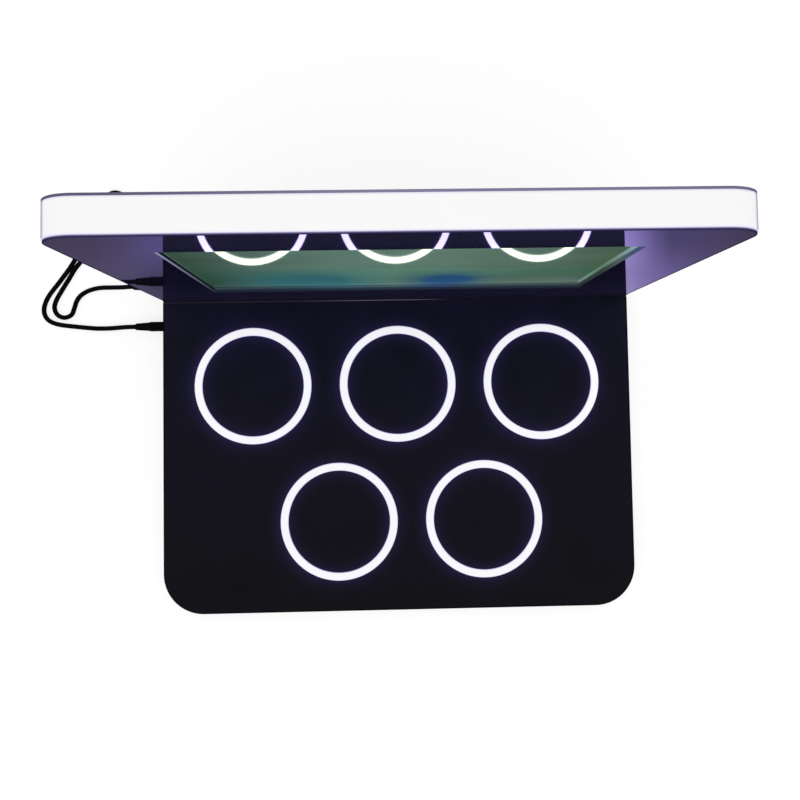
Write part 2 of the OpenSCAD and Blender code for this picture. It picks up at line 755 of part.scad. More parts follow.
// Flat rear cover with its vents, speaker grilles and power inlet opening.
module rear_cover() {
    color("#2a2933") difference() {
        upright_plate(cover_y, cover_t) difference() {
            box_outline();
            for (s = [-1, 1]) vent_slots(s * vent_x, picture_z + upper_vent_rise, 9);
            for (s = [-1, 1]) vent_slots(s * vent_x, picture_z - lower_vent_drop, 5);
            for (s = [-1, 1]) speaker_grille(s * speaker_x);
            translate([inlet_x, inlet_z]) square([inlet_body_w, inlet_body_h], center = true);
        }
        translate([inlet_x - flange_w / 2, back_y - flange_t, inlet_z - flange_h / 2])
            cube([flange_w, flange_t + 1, flange_h]);
        cover_screw_places() {
            translate([0, 0, -1]) cylinder(r = screw_r, h = cover_t + 2);
            translate([0, 0, cover_t - sink_t]) cylinder(r1 = screw_r, r2 = screw_r + sink_t, h = sink_t);
        }
    }
}

// Countersunk screws that hold the cover to the frame.
module rear_screws() {
    color("silver") cover_screw_places() {
        translate([0, 0, cover_t - sink_t]) cylinder(r1 = screw_r, r2 = screw_r + sink_t, h = sink_t);
        translate([0, 0, -6]) cylinder(r = screw_r, h = cover_t + 4);
    }
}

// Foam frame between the mirror's back and the bezel; it lines the recess down to the glass.
module screen_gasket() {
    color("#101014") upright_plate(bay_y, bezel_y - bay_y) difference() {
        translate([0, picture_z]) square([bezel_out_w, bezel_out_h], center = true);
        translate([0, opening_z])
            square([opening_w + 2 * gasket_set, opening_h + 2 * gasket_set], center = true);
    }
}

// Black sheet-metal bezel: a face round the picture and a wall round the display.
module screen_bezel() {
    color("#16161a") {
        upright_plate(bezel_y, bezel_t) screen_frame(picture_w, picture_h);
        upright_plate(glass_y, glass_t + backlight_d)
            screen_frame(bezel_out_w - 2 * bezel_t, bezel_out_h - 2 * bezel_t);
    }
}

// One full-size layer of the display, from y back by t.
module display_layer(y, t, inset = 0) {
    upright_plate(y, t) translate([0, picture_z])
        square([display_w - 2 * inset, display_h - 2 * inset], center = true);
}

module screen_glass() {
    color("#3c6a58") display_layer(glass_y, glass_t);
}

// White sheet that spreads the backlight.
module screen_diffuser() {
    color("white") display_layer(diffuser_y, diffuser_t);
}

// Pressed backlight pan with strips of lensed lamps inside, ribs and board spacers on its back.
module screen_backlight() {
    floor_y = pan_back_y - pan_t;
    strip_h = 12;
    strip_pitch = 75;
    lamp_pitch = 70;
    lamps = floor((display_w / 2 - 20) / lamp_pitch);
    color("lightgray") {
        difference() {
            display_layer(pan_y, pan_back_y - pan_y);
            display_layer(pan_y - 1, floor_y - pan_y + 1, pan_t);
        }
        for (z = [-2:2] * strip_pitch) translate([0, 0, picture_z + z]) {
            translate([-display_w / 2 + 15, floor_y - 1.5, -strip_h / 2])
                cube([display_w - 30, 2, strip_h]);
            for (i = [-lamps:lamps]) translate([i * lamp_pitch, floor_y - 1, 0]) rotate([90, 0, 0])
                cylinder(r1 = 7, r2 = 5, h = 5);
        }
        for (x = [-0.42, -0.02, 0.42] * display_w)
            translate([x - 6, pan_back_y - 1, picture_z - 0.4 * display_h])
                cube([12, rib_d + 1, 0.8 * display_h]);
        for (z = [-1, 1]) {
            for (x = [spacer_edge, supply_w - spacer_edge])
                board_spacer(supply_x + x, picture_z + z * (supply_h / 2 - spacer_edge));
            for (x = [spacer_edge, main_board_w - spacer_edge])
                board_spacer(main_board_x + x, picture_z + z * (main_board_h / 2 - spacer_edge));
        }
    }
}

// Round spacer from the pan's back to a circuit board.
module board_spacer(x, z) {
    along_y(x, pan_back_y - 1, z) cylinder(r = 4, h = spacer_l + 1);
}

// Two rails that hang the display between the frame legs, their ends turned back along the legs.
module screen_brackets() {
    t = 2;
    h = 24;
    tab_l = 14;
    rail_y = pan_back_y + rib_d;
    color("darkgray") for (s = [-1, 1]) translate([0, rail_y, picture_z + s * bracket_rise - h / 2]) {
        translate([-tube_x, 0, 0]) cube([2 * tube_x, t, h]);
        for (x = [-tube_x, tube_x - t]) translate([x, 0, 0]) cube([t, tab_l, h]);
    }
}

// Main computer board: processor under a finned heat sink, and a row of plugs.
module main_board() {
    y1 = board_y + board_t;
    port_pitch = 32;
    port = [20, 8, 14];
    color("darkgreen") {
        translate([main_board_x, board_y, picture_z - main_board_h / 2])
            cube([main_board_w, board_t, main_board_h]);
        translate([sink_x, y1, picture_z - sink_l / 2]) cube([sink_l, 2, sink_l]);
        for (i = [0:8]) translate([sink_x + i * 6, y1, picture_z - sink_l / 2]) cube([2, 9, sink_l]);
        for (i = [0:4])
            translate([main_board_x + port[0] / 2 + i * port_pitch, y1 - 0.5, picture_z - main_board_h / 2])
                cube(port);
    }
}

// Enclosed power supply: a folded case with a vented lid and its terminal strip.
module power_supply() {
    d = 13;
    terminal_w = 14;
    color("silver") difference() {
        union() {
            translate([supply_x, board_y, picture_z - supply_h / 2]) cube([supply_w, d, supply_h]);
            translate([supply_x + supply_w, board_y, picture_z - supply_h / 2 + 6])
                cube([terminal_w, 9, supply_h - 12]);
        }
        for (i = [0:6]) translate([supply_x + 15 + i * 18, board_y + d - 2, picture_z - supply_slot_l / 2])
            cube([6, 3, supply_slot_l]);
    }
}

// Full-range speaker facing the rear grille: square flange, basket and magnet.
module speaker(x) {
    color("#303036") along_y(x, cover_y, low_bay_z) rotate([180, 0, 0]) difference() {
        union() {
            translate([-speaker_r - 2, -speaker_r - 2, 0]) cube([2 * speaker_r + 4, 2 * speaker_r + 4, 2]);
            translate([0, 0, 1]) cylinder(r1 = speaker_r - 1, r2 = 13, h = 17);
            translate([0, 0, 17]) cylinder(r = 16, h = 9);
        }
        translate([0, 0, -1]) cylinder(r1 = speaker_r - 2, r2 = 9, h = 13);
    }
}

// Power inlet module: plug cavity with three blades, and the bay of the rocker switch.
module mains_inlet() {
    x0 = inlet_x + inlet_dx;
    color("#202026") {
        difference() {
            union() {
                translate([inlet_x - flange_w / 2, back_y - flange_t, inlet_z - flange_h / 2])
                    cube([flange_w, flange_t, flange_h]);
                translate([inlet_x - inlet_body_w / 2, back_y - 26, inlet_z - inlet_body_h / 2])
                    cube([inlet_body_w, 26 - flange_t + 0.5, inlet_body_h]);
            }
            translate([x0 - cavity_w / 2, back_y - cavity_d, inlet_z - cavity_h / 2])
                cube([cavity_w, cavity_d + 1, cavity_h]);
            translate([rocker_x - rocker_w / 2 - run_gap, rocker_y - 8, inlet_z - rocker_cavity_half])
                cube([rocker_w + 2 * run_gap, 20, 2 * rocker_cavity_half]);
            translate([rocker_x - rocker_w / 2 - 2, rocker_y, inlet_z]) rotate([0, 90, 0])
                cylinder(r = 1.2 + fine_gap / 2, h = rocker_w + 4);
        }
        for (i = [-1:1]) translate([x0 + i * 7 - 1, back_y - cavity_d - 1, inlet_z - 2 + (i == 0 ? 2.5 : -2)])
            cube([2, blade_l + 1, 4]);
    }
}

// Rocker of the power switch, resting with its lower end out.
module power_rocker() {
    color("crimson") translate([rocker_x, rocker_y, inlet_z]) rotate([-rocker_tilt, 0, 0]) {
        translate([-rocker_w / 2, 0, 0]) rotate([90, 0, 90]) linear_extrude(rocker_w) polygon([
            [rocker_lip, -rocker_half], [2, 0], [rocker_lip, rocker_half], [-3, 8], [-6.5, 3], [-6.5, -3], [-3, -8]
        ]);
        translate([-rocker_w / 2 - 1.6, 0, 0]) rotate([0, 90, 0]) cylinder(r = 1.2, h = rocker_w + 3.2);
    }
}

// ---- link cable ----

function unit(v) = v / norm(v);
// Point at share t of the smooth curve from route point i to the next.
function on_route(i, t) =
    let (
        n = len(ROUTE) - 1,
        a = ROUTE[max(i - 1, 0)],
        b = ROUTE[i],
        c = ROUTE[min(i + 1, n)],
        d = ROUTE[min(i + 2, n)]
    )
    0.5 * (2 * b + (c - a) * t + (2 * a - 5 * b + 4 * c - d) * t * t + (3 * b - a - 3 * c + d) * t * t * t);

// The cable's tube: a ring of points round each place on the route, joined side by side.
module link_cable() {
    sides = 10;
    last = len(ROUTE) - 1;
    path = [for (i = [0:last - 1], t = [0, 0.5]) on_route(i, t), ROUTE[last]];
    n = len(path);
    points = [
        for (i = [0:n - 1])
            let (
                t = i == 0 || i == n - 1 ? [i == 0 ? -1 : 1, 0, 0] : unit(path[i + 1] - path[i - 1]),
                u = unit(cross([0, 0, 1], t)),
                v = cross(t, u)
            )
            for (k = [0:sides - 1])
                path[i] + cord_d / 2 * (cos(k * 360 / sides) * u + sin(k * 360 / sides) * v)
    ];
    color("#0c0c0e") polyhedron(points, concat(
        [[for (k = [0:sides - 1]) k]],
        [for (i = [0:n - 2], k = [0:sides - 1])
            let (a = i * sides + k, b = i * sides + (k + 1) % sides)
            [a, a + sides, b + sides, b]],
        [[for (k = [sides - 1:-1:0]) (n - 1) * sides + k]]
    ));
}

// Moulded plug: nose in the socket, ribbed grip, and a strain relief that tapers to the cable.
module cable_plug() {
    color("#0e0e11") difference() {
        rotate_extrude() polygon([
            [0, -nose_l], [nose_r, -nose_l], [nose_r, 0], [plug_r - 1.5, 0], [plug_r, 1.5],
            [plug_r, plug_grip_l - 4], [relief_r, plug_grip_l + 1], [tip_r, plug_l - 1.5],
            [tip_r - 1.5, plug_l], [0, plug_l]
        ]);
        for (i = [0:4]) translate([0, 0, 8 + i * 4.5]) difference() {
            cylinder(r = plug_r + 1, h = 1.2);
            translate([0, 0, -1]) cylinder(r = plug_r - 0.5, h = 4);
        }
    }
}

module plug_pad() {
    along_minus_x(socket_x, pad_socket_y, pad_socket_z) cable_plug();
}

module plug_rail() {
    along_minus_x(rail_socket_x, rail_socket_y, rail_socket_z) cable_plug();
}

base_tray();
deck_core();
deck_sheet();
edge_bumper();
light_ring(1);  // light_ring_1
light_ring(2);  // light_ring_2
light_ring(3);  // light_ring_3
light_ring(4);  // light_ring_4
light_ring(5);  // light_ring_5
step_plate(1);  // step_plate_1
step_plate(2);  // step_plate_2
step_plate(3);  // step_plate_3
step_plate(4);  // step_plate_4
step_plate(5);  // step_plate_5
step_springs(1);  // step_springs_1
step_springs(2);  // step_springs_2
step_springs(3);  // step_springs_3
step_springs(4);  // step_springs_4
step_springs(5);  // step_springs_5
ring_leds(1);  // ring_leds_1
ring_leds(2);  // ring_leds_2
ring_leds(3);  // ring_leds_3
ring_leds(4);  // ring_leds_4
ring_leds(5);  // ring_leds_5
step_sensors();
pad_board();
pad_wiring();
pad_socket();
pad_feet();
tray_screws();
tie_bolts();
base_rail();
rail_cap_left();
rail_cap_right();
rail_feet();
rail_socket();
frame_left();
frame_right();
frame_top();
frame_cross();
mirror_panel();
light_band();
band_leds();
rear_cover();
rear_screws();
screen_gasket();
screen_bezel();
screen_glass();
screen_diffuser();
screen_backlight();
screen_brackets();
main_board();
power_supply();
speaker(-speaker_x);  // speaker_left
speaker(speaker_x);  // speaker_right
mains_inlet();
power_rocker();
link_cable();
plug_pad();
plug_rail();
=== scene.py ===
import json
import math

import bmesh
import bpy
import numpy as np
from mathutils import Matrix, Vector


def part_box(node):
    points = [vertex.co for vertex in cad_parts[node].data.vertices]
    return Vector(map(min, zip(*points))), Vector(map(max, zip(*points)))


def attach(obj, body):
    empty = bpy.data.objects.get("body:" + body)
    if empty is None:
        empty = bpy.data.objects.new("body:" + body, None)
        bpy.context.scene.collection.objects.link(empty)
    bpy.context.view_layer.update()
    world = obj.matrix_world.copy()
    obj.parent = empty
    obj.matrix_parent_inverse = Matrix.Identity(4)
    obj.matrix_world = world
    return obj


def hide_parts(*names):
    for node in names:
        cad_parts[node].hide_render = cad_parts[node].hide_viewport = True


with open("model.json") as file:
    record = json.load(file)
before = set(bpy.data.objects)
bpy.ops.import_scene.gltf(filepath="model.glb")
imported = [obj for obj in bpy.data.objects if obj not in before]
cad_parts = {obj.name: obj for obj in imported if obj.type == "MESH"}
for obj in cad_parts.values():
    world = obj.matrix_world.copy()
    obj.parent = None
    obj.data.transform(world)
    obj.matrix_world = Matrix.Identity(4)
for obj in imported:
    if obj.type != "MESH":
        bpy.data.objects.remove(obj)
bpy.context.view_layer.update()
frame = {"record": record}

# ---- Camera ----
# A person standing at the pad's middle holds it almost over the upright and looks straight down, with
# the picture plane slid towards the player so that pad and upright both fit in.
camera = bpy.data.objects.new("camera", bpy.data.cameras.new("camera"))
camera.location = (-0.0297, 0.0772, 1.8299)
camera.rotation_euler = [math.radians(turn) for turn in (2.797, -1.398, -0.971)]
camera.data.sensor_width = 36
camera.data.lens = 37.555
camera.data.shift_x = -0.00575
camera.data.shift_y = -0.0462
bpy.context.scene.collection.objects.link(camera)
bpy.context.scene.camera = camera

# ---- Link cable and its plugs ----
# A round black cable in soft PVC joins the pad's light boards to the upright. It leaves the pad's plug,
# lies on the floor in a slack bight that ends behind the upright, and comes back to the rail's plug.
CABLE_D = 0.010
CABLE_ROUTE = np.array([
    (-0.563, 0.252, 0.022), (-0.584, 0.252, 0.02), (-0.606, 0.2515, 0.0115), (-0.628, 0.251, 0.006),
    (-0.655, 0.2515, 0.005), (-0.694, 0.2555, 0.005), (-0.728, 0.26, 0.005), (-0.748, 0.266, 0.005),
    (-0.76, 0.2755, 0.005), (-0.7655, 0.29, 0.005), (-0.763, 0.307, 0.005), (-0.753, 0.327, 0.005),
    (-0.73, 0.357, 0.005), (-0.704, 0.394, 0.005), (-0.673, 0.451, 0.005), (-0.65, 0.5, 0.005),
    (-0.641, 0.519, 0.005), (-0.6325, 0.5365, 0.005), (-0.6199, 0.5485, 0.005), (-0.6028, 0.548, 0.005),
    (-0.591, 0.5355, 0.005), (-0.5915, 0.5185, 0.005), (-0.6, 0.5005, 0.005), (-0.632, 0.456, 0.005),
    (-0.69, 0.394, 0.005), (-0.714, 0.357, 0.005), (-0.731, 0.329, 0.005), (-0.7395, 0.313, 0.005),
    (-0.743, 0.297, 0.005), (-0.7364, 0.2823, 0.005), (-0.7215, 0.276, 0.005), (-0.7065, 0.2819, 0.005),
    (-0.7, 0.297, 0.005), (-0.695, 0.312, 0.005), (-0.685, 0.325, 0.005), (-0.667, 0.335, 0.005),
    (-0.644, 0.34, 0.005), (-0.618, 0.3395, 0.012), (-0.591, 0.3369, 0.031), (-0.563, 0.3367, 0.041),
])


def smooth_path(points, steps):
    """Catmull-Rom curve through the points, steps to a stretch: each place is the cubic of its four
    nearest points."""
    p = np.vstack([points[:1], points, points[-1:]])
    t = np.arange(steps)[None, :, None] / steps
    a, b, c, d = (p[i:len(p) - 3 + i, None, :] for i in range(4))
    curve = 0.5 * (2 * b + (c - a) * t + (2 * a - 5 * b + 4 * c - d) * t ** 2
                   + (3 * b - a - 3 * c + d) * t ** 3)
    return np.vstack([curve.reshape(-1, 3), points[-1:]])


def grid_faces(rows, columns, close_rows=False, close_columns=False):
    """Four-cornered faces between neighbours of a grid of points numbered row by row."""
    r = np.arange(rows if close_rows else rows - 1)[:, None]
    c = np.arange(columns if close_columns else columns - 1)[None, :]
    r1 = (r + 1) % rows
    c1 = (c + 1) % columns
    corners = [r * columns + c, r * columns + c1, r1 * columns + c1, r1 * columns + c]
    return np.stack(corners, axis=-1).reshape(-1, 4)


def new_piece(name, points, faces, body="machine"):
    """A smooth-shaded mesh object at the origin from arrays of points and faces, riding on a body."""
    mesh = bpy.data.meshes.new(name)
    mesh.from_pydata(points.reshape(-1, 3).tolist(), [], [list(face) for face in faces])
    mesh.polygons.foreach_set("use_smooth", np.full(len(mesh.polygons), True))
    mesh.update()
    piece = bpy.data.objects.new(name, mesh)
    bpy.context.scene.collection.objects.link(piece)
    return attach(piece, body)


def tube(path, radius, sides):
    """Points of a tube: round each place on the path a circle of the radius, in the plane square to the
    path, measured from the level direction beside it. Both ends are closed by a fan face."""
    along = np.gradient(path, axis=0)
    along[[0, -1]] *= (1, 0, 0)
    along /= np.linalg.norm(along, axis=1, keepdims=True)
    beside = np.cross((0, 0, 1), along)
    beside /= np.linalg.norm(beside, axis=1, keepdims=True)
    above = np.cross(along, beside)
    turn = np.linspace(0, 2 * np.pi, sides, endpoint=False)[None, :, None]
    points = path[:, None] + radius * (np.cos(turn) * beside[:, None] + np.sin(turn) * above[:, None])
    faces = [list(face) for face in grid_faces(len(path), sides, close_columns=True)]
    last = (len(path) - 1) * sides
    return points, faces + [list(range(sides))[::-1], list(range(last, last + sides))]


def turned(profile, sides=96):
    """Surface of a turned piece: the profile of (distance from the axis, height) swept round the Z axis;
    both its ends lie on the axis or it is a closed loop."""
    turn = np.linspace(0, 2 * np.pi, sides, endpoint=False)[:, None]
    r, z = np.asarray(profile, float).T
    return np.stack([r * np.cos(turn), r * np.sin(turn), z + 0 * turn], axis=-1)


def weld(piece):
    """Merges the points that fall together, such as a turned piece's points on its axis, and turns all
    faces outwards."""
    shape = bmesh.new()
    shape.from_mesh(piece.data)
    bmesh.ops.remove_doubles(shape, verts=shape.verts, dist=1e-6)
    bmesh.ops.recalc_face_normals(shape, faces=shape.faces)
    shape.to_mesh(piece.data)
    shape.free()


def shader(name):
    """A new material with its node tree and its Principled shader."""
    material = bpy.data.materials.new(name)
    material.use_nodes = True
    return material, material.node_tree, material.node_tree.nodes["Principled BSDF"]


def feed(tree, node, inputs):
    """Sets a node's inputs to values or joins them to other nodes' outputs."""
    for key, value in inputs.items():
        if isinstance(value, bpy.types.NodeSocket):
            tree.links.new(value, node.inputs[key])
        else:
            node.inputs[key].default_value = value


def add(tree, kind, inputs=None, **settings):
    """A node with its settings made and its inputs fed."""
    node = tree.nodes.new(kind)
    for key, value in settings.items():
        setattr(node, key, value)
    feed(tree, node, inputs or {})
    return node


def ramp(tree, value, *stops):
    """Colour or grey level over a value from 0 to 1: the stops are (position, level or colour)."""
    node = add(tree, "ShaderNodeValToRGB", {"Fac": value})
    marks = node.color_ramp.elements
    for _ in stops[2:]:
        marks.new(1.0)
    for mark, (position, shade) in zip(marks, stops):
        mark.position = position
        mark.color = (shade,) * 3 + (1,) if isinstance(shade, (int, float)) else (*shade, 1)
    return node.outputs["Color"]


def maths(tree, operation, *values):
    """One sum on numbers or on other nodes' outputs."""
    return add(tree, "ShaderNodeMath", dict(enumerate(values)), operation=operation).outputs[0]


def scaled(tree, first, second):
    """Product of two colours, or of a colour and a level."""
    return add(tree, "ShaderNodeVectorMath", {0: first, 1: second}, operation="MULTIPLY").outputs[0]


def blend(tree, share, first, second):
    """Mix of two colours by a share; the numbers are the colour sockets of the Mix node."""
    node = add(tree, "ShaderNodeMix", data_type="RGBA")
    for socket, value in zip((node.inputs[0], node.inputs[6], node.inputs[7]), (share, first, second)):
        if isinstance(value, bpy.types.NodeSocket):
            tree.links.new(value, socket)
        elif isinstance(value, (int, float)):
            socket.default_value = value
        else:
            socket.default_value = (*value, 1)
    return node.outputs[2]


def new_group(name, inputs, outputs):
    """An empty shader node group with its named inputs (their values show in the list) and outputs."""
    group = bpy.data.node_groups.new(name, "ShaderNodeTree")
    for label, value in inputs.items():
        kind = "NodeSocketFloat" if isinstance(value, (int, float)) else "NodeSocketColor"
        group.interface.new_socket(label, in_out="INPUT", socket_type=kind).default_value = value
    for label, kind in outputs.items():
        group.interface.new_socket(label, in_out="OUTPUT", socket_type=kind)
    return group, group.nodes.new("NodeGroupInput"), group.nodes.new("NodeGroupOutput")


def build_grain():
    """Fine grain of a moulded, coated or rolled surface: cloudy patches change the colour and roughness,
    and a fine noise, stretched at will, gives the height."""
    group, given, made = new_group(
        "grain",
        {"Colour": (0.5, 0.5, 0.5, 1), "Patches": 0.2, "Patch size": 12.0, "Roughness": 0.5,
         "Grain size": 900.0, "Stretch": 1.0, "Height": 0.5},
        {"Colour": "NodeSocketColor", "Roughness": "NodeSocketFloat", "Height": "NodeSocketFloat"},
    )
    place = add(group, "ShaderNodeTexCoord").outputs["Object"]
    cloud = add(group, "ShaderNodeTexNoise", {"Vector": place, "Scale": given.outputs["Patch size"],
                                              "Detail": 4.0})
    squeeze = add(group, "ShaderNodeCombineXYZ", {"X": given.outputs["Stretch"], "Y": 1.0, "Z": 1.0})
    drawn = scaled(group, place, squeeze.outputs[0])
    grain = add(group, "ShaderNodeTexNoise", {"Vector": drawn, "Scale": given.outputs["Grain size"],
                                              "Detail": 2.0})
    swing = maths(group, "SUBTRACT", maths(group, "ADD", cloud.outputs["Fac"], grain.outputs["Fac"]), 1.0)
    shade = maths(group, "MULTIPLY_ADD", swing, given.outputs["Patches"], 1.0)
    rough = add(group, "ShaderNodeMath", {0: shade, 1: given.outputs["Roughness"]}, operation="MULTIPLY",
                use_clamp=True)
    feed(group, made, {"Colour": scaled(group, given.outputs["Colour"], shade),
                       "Roughness": rough.outputs[0],
                       "Height": maths(group, "MULTIPLY", grain.outputs["Fac"], given.outputs["Height"])})
    return group


grain_group = build_grain()


def grained(name, colour, roughness, patches=0.2, patch_size=12.0, grain_size=900.0, stretch=1.0,
            height=0.5, metallic=0.0, specular=0.5, depth=0.0002):
    """A material with one colour broken up by grain; height and depth give how strongly it stands up."""
    material, tree, surface = shader(name)
    grain = add(tree, "ShaderNodeGroup", node_tree=grain_group)
    feed(tree, grain, {"Colour": (*colour, 1), "Patches": patches, "Patch size": patch_size,
                       "Roughness": roughness, "Grain size": grain_size, "Stretch": stretch,
                       "Height": height})
    bump = add(tree, "ShaderNodeBump", {"Height": grain.outputs["Height"], "Distance": depth})
    feed(tree, surface, {"Base Color": grain.outputs["Colour"], "Roughness": grain.outputs["Roughness"],
                         "Normal": bump.outputs["Normal"], "Metallic": metallic,
                         "Specular IOR Level": specular})
    return material


def dress(material, *names):
    """Gives CAD nodes or new pieces their material."""
    for name in names:
        bpy.data.objects[name].data.materials.clear()
        bpy.data.objects[name].data.materials.append(material)


cable_black = grained("cable_black", (0.0010, 0.0010, 0.0016), 0.45, grain_size=700, height=0.3,
                      specular=0.03)
# The curve may swing a hair past its points, so it is held at the route's own lowest X, Y and Z.
cable_line = np.maximum(smooth_path(CABLE_ROUTE, 6), CABLE_ROUTE.min(axis=0))
cable = new_piece("cable", *tube(cable_line, CABLE_D / 2, 16))
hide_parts("link_cable")
dress(cable_black, "cable", "plug_pad", "plug_rail")

# ---- Pad: tray, board and wiring ----
# A folded steel tray with a black powder coat carries a birch plywood board, whose wells and lanes take
# the light boards, the sensors and flat ribbon cables. Screws from below hold board and tray together.
tray_steel = grained("tray_steel", (0.035, 0.034, 0.042), 0.45, grain_size=1600, height=0.6)
zinc_steel = grained("zinc_steel", (0.55, 0.55, 0.53), 0.34, patches=0.35, patch_size=60, height=0.2,
                     metallic=1.0)
dress(tray_steel, "base_tray")
dress(zinc_steel, "tray_screws", "tie_bolts", "screen_brackets", "power_supply")


def plywood():
    """Birch veneer: long rings of pale brown drawn out along X, with fine dark pores."""
    material, tree, surface = shader("core_board")
    place = add(tree, "ShaderNodeTexCoord").outputs["Object"]
    drawn = add(tree, "ShaderNodeMapping", {"Vector": place, "Scale": (0.8, 7.0, 60.0)})
    rings = add(tree, "ShaderNodeTexNoise", {"Vector": drawn.outputs[0], "Scale": 6.0, "Detail": 6.0,
                                             "Distortion": 1.2})
    tone = ramp(tree, rings.outputs["Fac"], (0.3, (0.33, 0.20, 0.10)), (0.7, (0.62, 0.45, 0.27)))
    bump = add(tree, "ShaderNodeBump", {"Height": rings.outputs["Fac"], "Distance": 0.0003})
    feed(tree, surface, {"Base Color": tone, "Normal": bump.outputs[0], "Roughness": 0.7})
    return material


def circuit_board():
    """Green solder mask with a mesh of paler tracks."""
    material, tree, surface = shader("circuit_board")
    place = add(tree, "ShaderNodeTexCoord").outputs["Object"]
    tracks = add(tree, "ShaderNodeTexBrick", {
        "Vector": place, "Color1": (0.010, 0.09, 0.040, 1), "Color2": (0.012, 0.11, 0.05, 1),
        "Mortar": (0.05, 0.24, 0.12, 1), "Scale": 90.0, "Mortar Size": 0.03})
    rough = add(tree, "ShaderNodeMapRange", {"Value": tracks.outputs["Fac"], "To Min": 0.35, "To Max": 0.5})
    feed(tree, surface, {"Base Color": tracks.outputs["Color"], "Roughness": rough.outputs[0]})
    return material


def ribbon():
    """Grey ribbon cable: fine ridges, one to a wire, across its width."""
    material, tree, surface = shader("ribbon_grey")
    place = add(tree, "ShaderNodeTexCoord").outputs["Object"]
    wires = add(tree, "ShaderNodeTexWave", {"Vector": place, "Scale": 250.0})
    tone = blend(tree, wires.outputs["Fac"], (0.16, 0.16, 0.18), (0.30, 0.31, 0.33))
    bump = add(tree, "ShaderNodeBump", {"Height": wires.outputs["Fac"], "Distance": 0.0004})
    feed(tree, surface, {"Base Color": tone, "Normal": bump.outputs[0], "Roughness": 0.5})
    return material


dress(plywood(), "deck_core")
dress(circuit_board(), "step_sensors", "pad_board", "main_board", "band_leds",
      *[f"ring_leds_{k}" for k in range(1, 6)])
dress(ribbon(), "pad_wiring")
dress(grained("foot_rubber", (0.02, 0.02, 0.021), 0.75, grain_size=500, height=0.7, specular=0.3),
      "pad_feet", "rail_feet")
dress(grained("spring_rubber", (0.045, 0.05, 0.055), 0.7, grain_size=500, specular=0.3),
      *[f"step_springs_{k}" for k in range(1, 6)])
dress(grained("socket_metal", (0.20, 0.20, 0.22), 0.3, patches=0.15, metallic=1.0), "pad_socket",
      "rail_socket")

# ---- Glowing rings ----
# Five light guides in milky acrylic, each turned in one piece with the skirt that the deck sheet clamps.
# Their faces are flush with the deck and their rims are broken by a small round.
ring_boxes = [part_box(f"light_ring_{k}") for k in range(1, 6)]
RING_CENTRES = [((low + high) / 2)[:2] for low, high in (np.array(ends) for ends in ring_boxes)]
RING_TOP = ring_boxes[0][1][2]
RING_R = 0.1243
RING_FACE = 0.0166
RING_ROUND = 0.0012
RING_UNDER = RING_TOP - 0.009
DECK_UNDER = RING_TOP - 0.004
SKIRT_OUT = 0.0062
SKIRT_WALL = 0.0040
RING_GLOW = 0.60
RING_GLARE = (4.9, 5.7, 4.2)
NEAR_SCREEN = (0.196, 0.212)
NEAR_TRIM = -0.10
NEAR_LOSS = -0.30


def rounded_corner(centre, radius, start, end, steps=5):
    """Quarter-round of a profile from one angle to another, in degrees, about its centre."""
    angle = np.radians(np.linspace(start, end, steps))[:, None]
    return np.asarray(centre) + radius * np.hstack([np.cos(angle), np.sin(angle)])


def ring_profile():
    """Closed section of the light guide: a face with two rounded rims, then the skirt outside it."""
    low = ring_boxes[0][0][2]
    inner = RING_R - RING_FACE
    c = RING_ROUND
    across = np.linspace(inner + c, RING_R - c, 7)[1:-1]
    face = np.stack([across, np.full(5, RING_TOP)], axis=1)
    return np.vstack([
        [(inner, RING_UNDER)],
        rounded_corner((inner + c, RING_TOP - c), c, 180, 90),
        face,
        rounded_corner((RING_R - c, RING_TOP - c), c, 90, 0),
        [(RING_R, DECK_UNDER), (RING_R + SKIRT_OUT, DECK_UNDER), (RING_R + SKIRT_OUT, low),
         (RING_R + SKIRT_OUT - SKIRT_WALL, low), (RING_R + SKIRT_OUT - SKIRT_WALL, RING_UNDER)],
    ])


